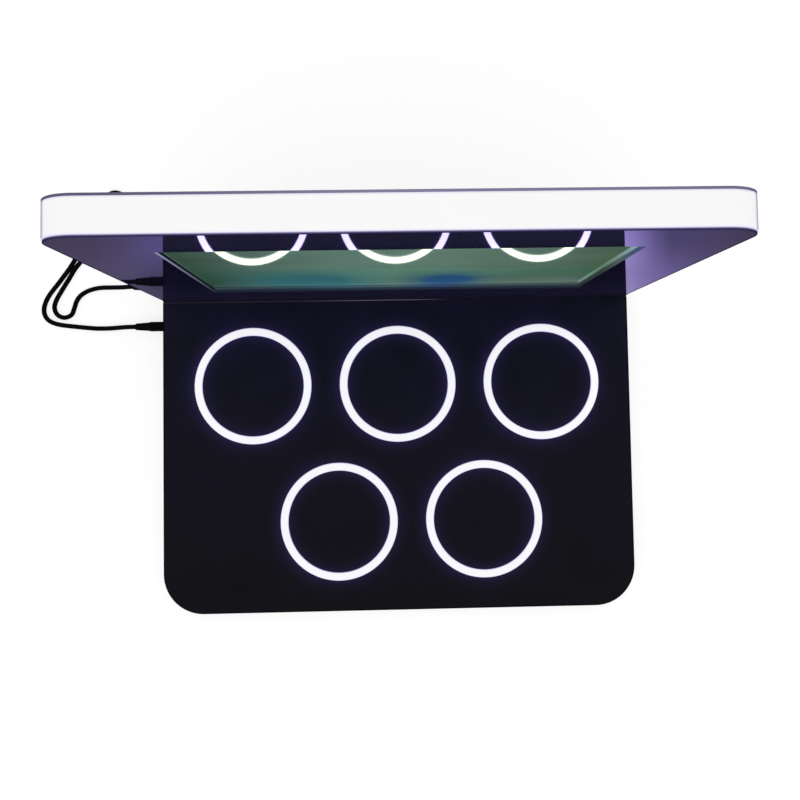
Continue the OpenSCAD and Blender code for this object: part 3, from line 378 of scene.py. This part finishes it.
def milky_ring():
    """Lit milky acrylic: white in the middle of its face and violet towards its rims, with slight clouds
    where one light shades into the next. In gloss its core shines at its true strength, which is less on
    the rim next to the screen."""
    material, tree, surface = shader("ring_milky")
    across = add(tree, "ShaderNodeAttribute", attribute_name="across").outputs["Fac"]
    tint = ramp(tree, across, (0.0, (0.55, 0.50, 0.95)), (0.12, (0.97, 0.97, 1.0)),
                (0.88, (0.97, 0.97, 1.0)), (1.0, (0.55, 0.50, 0.95)))
    place = add(tree, "ShaderNodeTexCoord").outputs["Object"]
    cloud = add(tree, "ShaderNodeTexNoise", {"Vector": place, "Scale": 14.0, "Detail": 2.0})
    level = add(tree, "ShaderNodeMapRange", {"Value": cloud.outputs["Fac"], "To Min": 0.90, "To Max": 1.0})
    split = add(tree, "ShaderNodeSeparateXYZ", {"Vector": place})
    near = add(tree, "ShaderNodeMapRange", {"Value": split.outputs["Y"], "From Min": NEAR_SCREEN[0],
                                            "From Max": NEAR_SCREEN[1]}).outputs[0]
    core = ramp(tree, maths(tree, "MULTIPLY_ADD", near, NEAR_TRIM, across),
                (0.05, 0.0), (0.12, 1.0), (0.88, 1.0), (0.95, 0.0))
    core = maths(tree, "MULTIPLY", core, maths(tree, "MULTIPLY_ADD", near, NEAR_LOSS, 1.0))
    row = add(tree, "ShaderNodeMapRange", {"Value": split.outputs["Y"], "From Min": -0.20,
                                           "From Max": 0.16, "To Min": 0.92 * RING_GLOW,
                                           "To Max": 1.06 * RING_GLOW})
    level = maths(tree, "MULTIPLY", level.outputs[0], row.outputs[0])
    in_gloss = add(tree, "ShaderNodeLightPath").outputs["Is Glossy Ray"]
    shown = blend(tree, in_gloss, scaled(tree, tint, level), scaled(tree, core, RING_GLARE))
    feed(tree, surface, {"Emission Color": shown, "Emission Strength": 1.0,
                         "Base Color": (0.45, 0.45, 0.47, 1), "Roughness": 0.35,
                         "Specular IOR Level": 0.2})
    return material


ring_milky = milky_ring()
profile = ring_profile()
face_share = np.clip((profile[:, 0] - RING_R + RING_FACE) / RING_FACE, 0, 1)
for k, (centre_x, centre_y) in enumerate(RING_CENTRES, 1):
    points = turned(profile) + (centre_x, centre_y, 0)
    ring = new_piece(f"ring_{k}", points, grid_faces(*points.shape[:2], True, True))
    weld(ring)
    ring.data.attributes.new("across", "FLOAT", "POINT")
    ring.data.attributes["across"].data.foreach_set("value", np.tile(face_share, len(points)))
    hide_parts(f"light_ring_{k}")
    dress(ring_milky, ring.name)

# ---- Deck sheet, step plates and bumper ----
# The deck is one matt black sheet clamped over the rings' skirts, and the plates are moulded black plastic
# held under the rings, both finely pebbled. A little violet light leaks out round each ring and fades over
# a finger's width. A black rubber bumper grips the pad's free edges and turns in behind it at both ends.
LEAK_SHIFT = (-0.0022, -0.0008)
LEAK_REACH = 0.011
LEAK_COLOUR = (0.009, 0.006, 0.032)
DECK_DEPTH = 0.70
REAR_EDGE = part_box("mirror_panel")[0][1] - 0.0014
BUMPER_LOW, BUMPER_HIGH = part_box("edge_bumper")
TAIL_HALF = (0.0038, 0.0036)
TAIL_INSET = 0.0001
TAIL_GAP = 0.0002


def build_leak():
    """Mask of the light round the rings: falls off with the distance from the nearest ring's face, and
    reaches a little further to the front left."""
    group, given, made = new_group("ring_leak", {}, {"Mask": "NodeSocketFloat"})
    place = add(group, "ShaderNodeTexCoord").outputs["Object"]
    flat = scaled(group, place, (1, 1, 0))
    nearest = None
    for centre in RING_CENTRES:
        middle = (centre[0] + LEAK_SHIFT[0], centre[1] + LEAK_SHIFT[1], 0)
        reach = add(group, "ShaderNodeVectorMath", {0: flat, 1: middle}, operation="DISTANCE")
        off = maths(group, "SUBTRACT", reach.outputs["Value"], RING_R - RING_FACE / 2)
        off = maths(group, "ABSOLUTE", off)
        nearest = off if nearest is None else maths(group, "MINIMUM", nearest, off)
    past = maths(group, "ADD", nearest, -RING_FACE / 2)
    fade = maths(group, "EXPONENT", maths(group, "DIVIDE", past, -LEAK_REACH))
    group.links.new(fade, made.inputs["Mask"])
    return group


leak_group = build_leak()


def pebbled_black(name):
    """Matt black with clouds and fine pebbles, bluer towards the screen, with the rings' leak of light
    and a faint glint along its edge under the mirror."""
    material = grained(name, (0, 0, 0), 0.62, patches=1.5, patch_size=11, grain_size=1400, height=0.5,
                       specular=0.05)
    tree = material.node_tree
    surface = tree.nodes["Principled BSDF"]
    grain = next(node for node in tree.nodes if node.type == "GROUP")
    place = add(tree, "ShaderNodeTexCoord").outputs["Object"]
    split = add(tree, "ShaderNodeSeparateXYZ", {"Vector": place})
    back = maths(tree, "MULTIPLY_ADD", split.outputs["Y"], 1 / DECK_DEPTH, 0.5)
    tone = ramp(tree, back, (0.05, (0.0047, 0.0042, 0.0066)), (0.45, (0.0056, 0.0053, 0.0108)),
                (0.95, (0.0062, 0.0062, 0.0190)))
    tree.links.new(tone, grain.inputs["Colour"])
    leak = add(tree, "ShaderNodeGroup", node_tree=leak_group)
    is_edge = maths(tree, "GREATER_THAN", split.outputs["Y"], REAR_EDGE)
    side = maths(tree, "ADD", split.outputs["X"], 0.5)
    glint = ramp(tree, side, (0.0, (0.014, 0.014, 0.027)), (0.30, (0.022, 0.021, 0.040)),
                 (0.42, (0.090, 0.084, 0.150)), (0.54, (0.084, 0.078, 0.140)), (0.61, (0, 0, 0)))
    glow = blend(tree, is_edge, (0, 0, 0), glint)
    glow = blend(tree, leak.outputs["Mask"], glow, LEAK_COLOUR)
    feed(tree, surface, {"Emission Color": glow, "Emission Strength": 1.0})
    return material


def bumper_tail(side):
    """The bumper's end turned in behind the pad: a short post whose section is a round-cornered square,
    |x|^4 + |y|^4 = 1 on its half sizes, drawn in towards a rounded top. Its levels are heights and shares
    of the half sizes."""
    angle = np.linspace(0, 2 * np.pi, 32, endpoint=False)
    cos, sin = np.cos(angle), np.sin(angle)
    swell = (cos ** 4 + sin ** 4) ** -0.25
    low, top = BUMPER_LOW[2], BUMPER_HIGH[2]
    levels = np.array([(low + 0.0008, 0.0), (low + 0.0010, 1.0), (top - 0.0030, 1.0), (top - 0.0015, 0.96),
                       (top - 0.0006, 0.82), (top - 0.0002, 0.5), (top - 0.0002, 0.0)])
    middle_x = side * (BUMPER_HIGH[0] - TAIL_INSET - TAIL_HALF[0])
    middle_y = BUMPER_HIGH[1] + TAIL_GAP + TAIL_HALF[1]
    z, share = levels[:, :1], levels[:, 1:]
    points = np.stack([middle_x + TAIL_HALF[0] * share * swell * cos,
                       middle_y + TAIL_HALF[1] * share * swell * sin, z + 0 * angle], axis=-1)
    piece = new_piece("bumper_tail_" + ("right" if side > 0 else "left"), points,
                      grid_faces(len(levels), len(angle), close_columns=True))
    weld(piece)
    return piece.name


dress(pebbled_black("deck_black"), "deck_sheet")
dress(pebbled_black("plate_black"), *[f"step_plate_{k}" for k in range(1, 6)])
dress(grained("bumper_rubber", (0.0012, 0.0011, 0.0018), 0.6, grain_size=700, specular=0.03),
      "edge_bumper", bumper_tail(-1), bumper_tail(1))

# ---- Upright: rail and frame ----
# A black powder-coated steel rail with moulded end caps stands on the floor behind the pad. Two legs and
# two cross tubes of plain aluminium stand in it and carry everything above.
dress(grained("rail_black", (0.009, 0.008, 0.015), 0.5, grain_size=1500, height=0.5, specular=0.04),
      "base_rail")
dress(grained("cap_black", (0.009, 0.008, 0.014), 0.6, grain_size=1100, specular=0.03), "rail_cap_left",
      "rail_cap_right")
dress(grained("frame_aluminium", (0.62, 0.63, 0.65), 0.36, patches=0.12, grain_size=500, stretch=0.05,
              height=0.2, metallic=1.0), "frame_left", "frame_right", "frame_top", "frame_cross")

# ---- Mirror panel ----
# Purple-grey smoked mirror, 4 mm acrylic, bonded to the fronts of the legs and tubes, with the screen's
# opening cut through it. Its outer border is bare dark acrylic, and the walls of the opening take up the
# light of the picture.
recess = next(hole for hole in frame["record"]["physics"]["openings"] if hole["name"] == "screen_recess")
OPENING_LOW, OPENING_HIGH = (np.array(corner) for corner in recess["box_m"])
OPENING_MIDDLE = (OPENING_LOW + OPENING_HIGH) / 2
OPENING_HALF = (OPENING_HIGH - OPENING_LOW) / 2 + 0.0005
MIRROR_LOW, MIRROR_HIGH = (np.array(corner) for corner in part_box("mirror_panel"))
MIRROR_CORNER = 0.0575
BORDER = 0.0018
SIDE_BORDER = 0.0035
RECESS_DEPTH = 0.011
WALL_MARGIN = 0.001
LEDGE_MARGIN = 0.0006
REAR_GAIN = (2.2, 2.2, 2.6)


def build_recess_light():
    """Painted light on the opening's walls: its colour runs with the height on the two sides and along the
    ledge, with painted shade, a dark strip, between the mirror's edge in front and the gasket that the
    picture lights. Reflected is what the glass shows of it: the lit rear of the right wall and of the
    ledge."""
    group, given, made = new_group("recess_light", {}, {"Colour": "NodeSocketColor",
                                                        "Reflected": "NodeSocketColor"})
    place = add(group, "ShaderNodeTexCoord").outputs["Object"]
    split = add(group, "ShaderNodeSeparateXYZ", {"Vector": place})
    x, y, z = (split.outputs[axis] for axis in "XYZ")
    depth = maths(group, "DIVIDE", maths(group, "SUBTRACT", y, MIRROR_LOW[1]), RECESS_DEPTH)
    up = maths(group, "DIVIDE", maths(group, "SUBTRACT", z, OPENING_LOW[2]), 2 * OPENING_HALF[2])
    along = maths(group, "MULTIPLY_ADD", x, 0.5 / OPENING_HALF[0], 0.5)
    left_front = ramp(group, up, (0.0, (0.026, 0.032, 0.048)), (0.5, (0.119, 0.138, 0.188)),
                      (1.0, (0.275, 0.287, 0.402)))
    left_rear = ramp(group, up, (0.0, (0.030, 0.050, 0.045)), (0.4, (0.070, 0.110, 0.105)),
                     (1.0, (0.110, 0.140, 0.170)))
    # Painted shade: a dark strip behind the lit front of the mirror's cut edge, before the lit gasket.
    left = blend(group, ramp(group, depth, (0.26, 1.0), (0.34, 0.0)), (0.001, 0.005, 0.010), left_front)
    left = blend(group, ramp(group, depth, (0.74, 0.0), (0.84, 1.0)), left, left_rear)
    right_front = ramp(group, up, (0.0, (0.020, 0.030, 0.030)), (0.16, (0.022, 0.032, 0.033)),
                       (0.43, (0.026, 0.040, 0.036)), (0.67, (0.070, 0.104, 0.106)),
                       (0.87, (0.050, 0.085, 0.160)))
    right_rear = ramp(group, up, (0.0, (0.090, 0.130, 0.110)), (0.16, (0.110, 0.180, 0.135)),
                      (0.43, (0.072, 0.118, 0.080)), (0.67, (0.155, 0.225, 0.195)),
                      (0.87, (0.275, 0.370, 0.480)))
    is_rear = ramp(group, depth, (0.64, 0.0), (0.78, 1.0))
    right = blend(group, is_rear, right_front, right_rear)
    ledge_rear = ramp(group, along, (0.15, (0.055, 0.105, 0.115)), (0.35, (0.062, 0.160, 0.220)),
                      (0.5, (0.095, 0.175, 0.200)), (0.6, (0.045, 0.110, 0.260)),
                      (0.8, (0.080, 0.130, 0.130)))
    ledge = blend(group, ramp(group, depth, (0.05, 0.0), (0.55, 0.25), (1.0, 1.0)),
                  (0.004, 0.006, 0.020), ledge_rear)
    is_right = maths(group, "GREATER_THAN", x, 0.0)
    is_ledge = maths(group, "LESS_THAN", z, OPENING_LOW[2] + LEDGE_MARGIN)
    sides = blend(group, is_right, left, right)
    group.links.new(blend(group, is_ledge, sides, ledge), made.inputs["Colour"])
    shown = blend(group, maths(group, "MULTIPLY", is_right, is_rear), (0, 0, 0),
                  scaled(group, right_rear, REAR_GAIN))
    group.links.new(blend(group, is_ledge, shown, ledge), made.inputs["Reflected"])
    return group


recess_group = build_recess_light()


def recess_light(tree):
    """The light on the opening's walls, as it shows in gloss where a glossy ray meets it."""
    light = add(tree, "ShaderNodeGroup", node_tree=recess_group)
    in_gloss = add(tree, "ShaderNodeLightPath").outputs["Is Glossy Ray"]
    return blend(tree, in_gloss, light.outputs["Colour"], light.outputs["Reflected"])


def smoked_mirror():
    """Dark mirror that shines more at a glancing angle, with its border and its cut edges left bare; the
    outer edge takes up the band's light. The border's mask is the distance to the outline: that of a box
    with round top corners."""
    material, tree, surface = shader("smoked_mirror")
    facing = add(tree, "ShaderNodeNewGeometry").outputs["Normal"]
    sides = add(tree, "ShaderNodeSeparateXYZ", {"Vector": facing})
    is_face = maths(tree, "GREATER_THAN", maths(tree, "ABSOLUTE", sides.outputs["Y"]), 0.5)
    is_edge = maths(tree, "SUBTRACT", 1.0, is_face)
    place = add(tree, "ShaderNodeTexCoord").outputs["Object"]
    split = add(tree, "ShaderNodeSeparateXYZ", {"Vector": place})
    across = maths(tree, "ABSOLUTE", split.outputs["X"])
    in_x = maths(tree, "LESS_THAN", across, OPENING_HALF[0] + WALL_MARGIN)
    off_z = maths(tree, "ABSOLUTE", maths(tree, "SUBTRACT", split.outputs["Z"], OPENING_MIDDLE[2]))
    in_z = maths(tree, "LESS_THAN", off_z, OPENING_HALF[2] + WALL_MARGIN)
    is_wall = maths(tree, "MULTIPLY", is_edge, maths(tree, "MULTIPLY", in_x, in_z))
    past_x = maths(tree, "SUBTRACT", across, MIRROR_HIGH[0] - MIRROR_CORNER)
    past_z = maths(tree, "SUBTRACT", split.outputs["Z"], MIRROR_HIGH[2] - MIRROR_CORNER)
    corner = add(tree, "ShaderNodeCombineXYZ", {"X": maths(tree, "MAXIMUM", past_x, 0.0),
                                                "Y": maths(tree, "MAXIMUM", past_z, 0.0)})
    corner = add(tree, "ShaderNodeVectorMath", {0: corner.outputs[0]}, operation="LENGTH").outputs["Value"]
    straight = maths(tree, "MINIMUM", maths(tree, "MAXIMUM", past_x, past_z), 0.0)
    reach = maths(tree, "ADD", corner, straight)
    is_border = maths(tree, "GREATER_THAN", reach, MIRROR_CORNER - BORDER)
    is_border = maths(tree, "MAXIMUM", is_border,
                      maths(tree, "GREATER_THAN", past_x, MIRROR_CORNER - SIDE_BORDER))
    silvered = maths(tree, "MULTIPLY", is_face, maths(tree, "SUBTRACT", 1.0, is_border))
    haze = add(tree, "ShaderNodeTexNoise", {"Vector": place, "Scale": 5.0, "Detail": 3.0})
    rough = add(tree, "ShaderNodeMapRange", {"Value": haze.outputs["Fac"], "To Min": 0.015,
                                             "To Max": 0.035})
    bare = blend(tree, is_wall, (0.020, 0.016, 0.060), (0.01, 0.01, 0.012))
    # Painted sheen: the share of metal changes with the height and is least near the top, so a paler violet
    # sheen shows there.
    rise = maths(tree, "DIVIDE", split.outputs["Z"], MIRROR_HIGH[2])
    painted_sheen_metal = ramp(tree, rise, (0.26, 0.91), (0.42, 0.955), (0.76, 0.96), (0.90, 0.86))
    behind = maths(tree, "DIVIDE", maths(tree, "SUBTRACT", split.outputs["Y"], MIRROR_LOW[1]),
                   MIRROR_HIGH[1] - MIRROR_LOW[1])
    bleed = ramp(tree, behind, (0.15, (0.0, 0.0, 0.0)), (0.55, (0.12, 0.105, 0.19)),
                 (0.95, (0.72, 0.68, 0.90)))
    bleed = blend(tree, is_edge, (0, 0, 0), bleed)
    feed(tree, surface, {
        "Base Color": blend(tree, silvered, bare, (0.12, 0.11, 0.26)), "Roughness": rough.outputs[0],
        "Metallic": maths(tree, "MULTIPLY", silvered, painted_sheen_metal), "Specular IOR Level": 0.0,
        "Specular Tint": (0.573, 0.49, 0.845, 1), "Emission Strength": 1.0,
        "Emission Color": blend(tree, is_wall, bleed, recess_light(tree))})
    return material


dress(smoked_mirror(), "mirror_panel")

# ---- Screen ----
# A stock display on brackets between the legs: foam and a black steel bezel behind the mirror, then glass
# over the picture, which is a plain idle pattern in greens with blue light low in its middle.


def display():
    """Picture under gloss: green that is darkest at the left, slow waves, and a teal, a blue and a
    pale pool of light low down, all on the glass's own X and Z."""
    material, tree, surface = shader("screen_glass")
    place = add(tree, "ShaderNodeTexCoord").outputs["Object"]
    centred = add(tree, "ShaderNodeMapping", {"Vector": place, "Location": tuple(-OPENING_MIDDLE)})
    at = centred.outputs[0]
    split = add(tree, "ShaderNodeSeparateXYZ", {"Vector": at})
    along = maths(tree, "MULTIPLY_ADD", split.outputs["X"], 0.5 / OPENING_HALF[0], 0.5)
    up = maths(tree, "MULTIPLY_ADD", split.outputs["Z"], 0.5 / OPENING_HALF[2], 0.5)
    green = ramp(tree, along, (0.02, (0.036, 0.076, 0.052)), (0.14, (0.063, 0.117, 0.092)),
                 (0.36, (0.107, 0.190, 0.150)), (0.66, (0.104, 0.180, 0.136)),
                 (0.86, (0.082, 0.145, 0.105)), (0.98, (0.062, 0.116, 0.070)))
    shade = ramp(tree, up, (0.0, (0.72, 0.84, 0.80)), (0.35, (0.70, 0.96, 0.90)), (0.55, (1, 1, 1)))
    warp = add(tree, "ShaderNodeMapping", {"Vector": at, "Scale": (2.2, 1.0, 5.5)})
    drift = add(tree, "ShaderNodeTexNoise", {"Vector": warp.outputs[0], "Scale": 1.6, "Detail": 4.0,
                                             "Distortion": 0.8})
    swing = add(tree, "ShaderNodeMapRange", {"Value": drift.outputs["Fac"], "From Min": 0.3,
                                             "From Max": 0.7, "To Min": 0.86, "To Max": 1.12})
    picture = scaled(tree, scaled(tree, green, shade), swing.outputs[0])

    def pool(x, z, width, height):
        """Soft oval pool of light: 1 at its middle and 0 past its width and height."""
        moved = add(tree, "ShaderNodeMapping", {"Vector": at, "Location": (-x / width, 0, -z / height),
                                                "Scale": (1 / width, 0, 1 / height)})
        ball = add(tree, "ShaderNodeTexGradient", {"Vector": moved.outputs[0]},
                   gradient_type="QUADRATIC_SPHERE")
        return ramp(tree, ball.outputs["Fac"], (0.0, 0.0), (0.45, 1.0))

    for x, z, width, height, colour in (
        (-0.17, -0.165, 0.20, 0.20, (0.026, 0.118, 0.133)),
        (0.095, -0.160, 0.12, 0.14, (0.014, 0.066, 0.158)),
        (0.290, -0.200, 0.19, 0.14, (0.080, 0.132, 0.105)),
    ):
        picture = blend(tree, pool(x, z, width, height), picture, colour)
    feed(tree, surface, {"Emission Color": picture, "Emission Strength": 1.0,
                         "Base Color": (0.004, 0.005, 0.006, 1), "Roughness": 0.03,
                         "Specular IOR Level": 0.15})
    return material


def foam_lining():
    """Black foam whose inner walls are lit by the picture in front of the glass."""
    material = grained("foam_black", (0.004, 0.004, 0.005), 0.95, grain_size=600, height=1.0, specular=0.1)
    tree = material.node_tree
    feed(tree, tree.nodes["Principled BSDF"],
         {"Emission Color": recess_light(tree), "Emission Strength": 1.0})
    return material


dress(display(), "screen_glass")
dress(grained("bezel_black", (0.010, 0.010, 0.012), 0.35, grain_size=1500, specular=0.35), "screen_bezel")
dress(foam_lining(), "screen_gasket")
dress(grained("diffuser_white", (0.85, 0.85, 0.87), 0.5, patches=0.05), "screen_diffuser")
dress(grained("backlight_steel", (0.55, 0.56, 0.57), 0.35, patches=0.3, patch_size=40, metallic=1.0),
      "screen_backlight")

# ---- Light band ----
# A milky acrylic strip bent round both sides and the top and held between mirror and rear cover. Light
# strips on the outside of the frame light it evenly from within.
BAND_LOW, BAND_HIGH = (np.array(corner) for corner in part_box("light_band"))
BAND_BODY = (0.22, 0.22, 0.225)
UNLIT_FOOT = (BAND_LOW[2] + 0.02, BAND_LOW[2] + 0.05)


def milky_band():
    """Evenly lit milky acrylic with very faint clouds from the lights behind it, a little lilac beside the
    mirror and the cover. It is unlit at its feet, and its sides dim where they are seen edgewise."""
    material, tree, surface = shader("band_milky")
    place = add(tree, "ShaderNodeTexCoord").outputs["Object"]
    split = add(tree, "ShaderNodeSeparateXYZ", {"Vector": place})
    cloud = add(tree, "ShaderNodeTexNoise", {"Vector": place, "Scale": 9.0, "Detail": 1.0})
    level = add(tree, "ShaderNodeMapRange", {"Value": cloud.outputs["Fac"], "To Min": 0.69,
                                             "To Max": 0.73})
    behind = maths(tree, "DIVIDE", maths(tree, "SUBTRACT", split.outputs["Y"], BAND_LOW[1]),
                   BAND_HIGH[1] - BAND_LOW[1])
    tint = ramp(tree, behind, (0.0, (0.93, 0.89, 1.0)), (0.05, (1.0, 0.998, 1.005)),
                (0.94, (1.0, 0.998, 1.005)), (1.0, (0.72, 0.68, 0.86)))
    foot = add(tree, "ShaderNodeMapRange", {"Value": split.outputs["Z"], "From Min": UNLIT_FOOT[0],
                                            "From Max": UNLIT_FOOT[1], "To Min": 0.03})
    edgewise = add(tree, "ShaderNodeLayerWeight", {"Blend": 0.5}).outputs["Facing"]
    dim = ramp(tree, edgewise, (0.67, (1, 1, 1)), (0.79, (0.46, 0.44, 0.58)), (1.0, (0.20, 0.18, 0.32)))
    facing = add(tree, "ShaderNodeSeparateXYZ",
                 {"Vector": add(tree, "ShaderNodeNewGeometry").outputs["Normal"]})
    dim = blend(tree, maths(tree, "ABSOLUTE", facing.outputs["X"]), (1, 1, 1), dim)
    level = maths(tree, "MULTIPLY", level.outputs[0], foot.outputs[0])
    body = scaled(tree, scaled(tree, dim, foot.outputs[0]), BAND_BODY)
    feed(tree, surface, {"Emission Color": scaled(tree, scaled(tree, tint, level), dim),
                         "Emission Strength": 1.0, "Base Color": body, "Roughness": 0.3,
                         "Specular IOR Level": 0.0})
    return material


dress(milky_band(), "light_band")

# ---- Rear cover and what is fixed to it ----
# A sheet in dark purple-grey plastic closes the back, held to the frame by countersunk screws. It has
# vents, grilles for two speakers and a power inlet with its rocker switch.
COVER_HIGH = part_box("rear_cover")[1]
RIM = 0.03


def lit_cover():
    """Grained dark cover whose rim catches the band's light, least at its left end."""
    material = grained("cover_dark", (0.055, 0.050, 0.080), 0.5, grain_size=900, height=0.6, specular=0.2)
    tree = material.node_tree
    place = add(tree, "ShaderNodeTexCoord").outputs["Object"]
    split = add(tree, "ShaderNodeSeparateXYZ", {"Vector": place})
    along = maths(tree, "ADD", split.outputs["X"], 0.5)
    tone = ramp(tree, along, (0.0, (0.030, 0.027, 0.070)), (0.15, (0.050, 0.045, 0.090)),
                (0.45, (0.155, 0.140, 0.230)), (0.85, (0.120, 0.105, 0.190)), (1.0, (0.060, 0.052, 0.11)))
    side = maths(tree, "GREATER_THAN", maths(tree, "ABSOLUTE", split.outputs["X"]), COVER_HIGH[0] - RIM)
    top = maths(tree, "GREATER_THAN", split.outputs["Z"], COVER_HIGH[2] - RIM)
    lip = maths(tree, "LESS_THAN", split.outputs["Y"], COVER_HIGH[1] - 0.0002)
    lip = maths(tree, "MULTIPLY", lip, maths(tree, "MAXIMUM", side, top))
    feed(tree, tree.nodes["Principled BSDF"],
         {"Emission Color": blend(tree, lip, (0, 0, 0), tone), "Emission Strength": 1.0})
    return material


dress(lit_cover(), "rear_cover")
dress(grained("screw_black", (0.02, 0.02, 0.023), 0.35, metallic=0.6), "rear_screws")
dress(grained("speaker_black", (0.02, 0.02, 0.022), 0.65, specular=0.3), "speaker_left", "speaker_right")
dress(grained("inlet_black", (0.012, 0.012, 0.014), 0.4, specular=0.35), "mains_inlet")
dress(grained("rocker_red", (0.42, 0.015, 0.015), 0.3, patches=0.1, height=0.2), "power_rocker")

# ---- Floor, lamps and world ----
# A plain white studio floor under soft light from all round and one wide lamp nearly overhead. Near
# the upright's foot, the floor that the mirror shows has painted shade that falls off to both sides, and
# painted light just past the pad's right end.
FLOOR_HALF = 6.0
FLOOR_LEVEL = -0.0002
FLOOR_BASE = (0.30, 0.30, 0.303)
FLOOR_LIFT = (0.74, 0.74, 0.737)
FOOT_FADE = (0.175, 0.245)
SIDE_FADE = (0.0, 0.14)


def seen_rays(tree):
    """1 for what the camera sees straight, in gloss or through glass, else 0; and its Light Path node."""
    ray = add(tree, "ShaderNodeLightPath")
    seen = maths(tree, "MAXIMUM", ray.outputs["Is Camera Ray"], ray.outputs["Is Glossy Ray"])
    return maths(tree, "MAXIMUM", seen, ray.outputs["Is Transmission Ray"]), ray


def studio_floor():
    """White floor that is lifted the last step to white where the camera, gloss or glass sees it. Gloss
    sees painted shade on it beside the pad, and painted light just past the pad's right end, by one run of
    tones away from the upright and one at its foot."""
    material, tree, surface = shader("studio_floor")
    seen, ray = seen_rays(tree)
    place = add(tree, "ShaderNodeTexCoord").outputs["Object"]
    split = add(tree, "ShaderNodeSeparateXYZ", {"Vector": place})
    along = maths(tree, "MULTIPLY_ADD", split.outputs["X"], 0.5, 0.5)
    # Painted shade on the floor, with painted light just past the pad's right end; only gloss sees these
    # tones.
    painted_tone_away = ramp(tree, along, (0.11, (0.23, 0.23, 0.17)), (0.17, (0.26, 0.26, 0.22)),
                 (0.20, (0.32, 0.32, 0.30)), (0.24, (0.43, 0.43, 0.52)), (0.755, (1.45, 1.42, 1.45)),
                 (0.773, (0.96, 0.95, 1.02)), (0.79, (0.53, 0.50, 0.59)), (0.807, (0.29, 0.29, 0.32)),
                 (0.85, (0.28, 0.27, 0.27)), (0.90, (0.21, 0.21, 0.17)))
    foot = ramp(tree, along, (0.12, (0.28, 0.28, 0.26)), (0.21, (0.27, 0.27, 0.28)),
                (0.24, (0.19, 0.19, 0.21)), (0.76, (0.90, 0.86, 0.97)), (0.772, (0.71, 0.65, 0.80)),
                (0.79, (0.56, 0.50, 0.64)), (0.807, (0.45, 0.42, 0.54)), (0.85, (0.31, 0.30, 0.34)))
    away = add(tree, "ShaderNodeMapRange", {"Value": split.outputs["Y"], "From Min": FOOT_FADE[0],
                                            "From Max": FOOT_FADE[1]})
    painted_floor_tone = blend(tree, away.outputs[0], painted_tone_away, foot)
    beside = add(tree, "ShaderNodeMapRange", {"Value": split.outputs["Y"], "From Min": SIDE_FADE[0],
                                              "From Max": SIDE_FADE[1]})
    share = maths(tree, "MULTIPLY", beside.outputs[0], ray.outputs["Is Glossy Ray"])
    tone = blend(tree, share, (1, 1, 1), painted_floor_tone)
    feed(tree, surface, {"Base Color": scaled(tree, tone, FLOOR_BASE),
                         "Emission Color": scaled(tree, scaled(tree, tone, FLOOR_LIFT), seen),
                         "Emission Strength": 1.0, "Roughness": 0.9, "Specular IOR Level": 0.0})
    return material


corners = np.array([(-1, -1), (1, -1), (1, 1), (-1, 1)]) * FLOOR_HALF
floor = new_piece("floor", np.hstack([corners, np.full((4, 1), FLOOR_LEVEL)]), [(0, 1, 2, 3)])
floor.parent = None
dress(studio_floor(), "floor")


def soft_lamp(name, place, size, watts, aim=(0, 0, 0.2)):
    """A square lamp at a place, turned so that it shines at its aim."""
    lamp = bpy.data.objects.new(name, bpy.data.lights.new(name, "AREA"))
    lamp.data.size = size
    lamp.data.energy = watts
    lamp.location = place
    way = Vector(aim) - Vector(place)
    lamp.rotation_euler = way.to_track_quat("-Z", "Y").to_euler()
    lamp.visible_glossy = False
    bpy.context.scene.collection.objects.link(lamp)


soft_lamp("key_lamp", (-0.6, -0.9, 3.4), 3.0, 28)
soft_lamp("fill_lamp", (2.4, 1.6, 2.6), 2.0, 10)

world = bpy.data.worlds.new("studio")
bpy.context.scene.world = world
world.use_nodes = True
sky = world.node_tree
level = add(sky, "ShaderNodeMapRange", {"Value": seen_rays(sky)[0], "To Min": 0.8, "To Max": 1.0})
sky.nodes["Background"].inputs["Color"].default_value = (1, 1, 1, 1)
sky.links.new(level.outputs[0], sky.nodes["Background"].inputs["Strength"])

bpy.context.scene.view_settings.view_transform = "Standard"
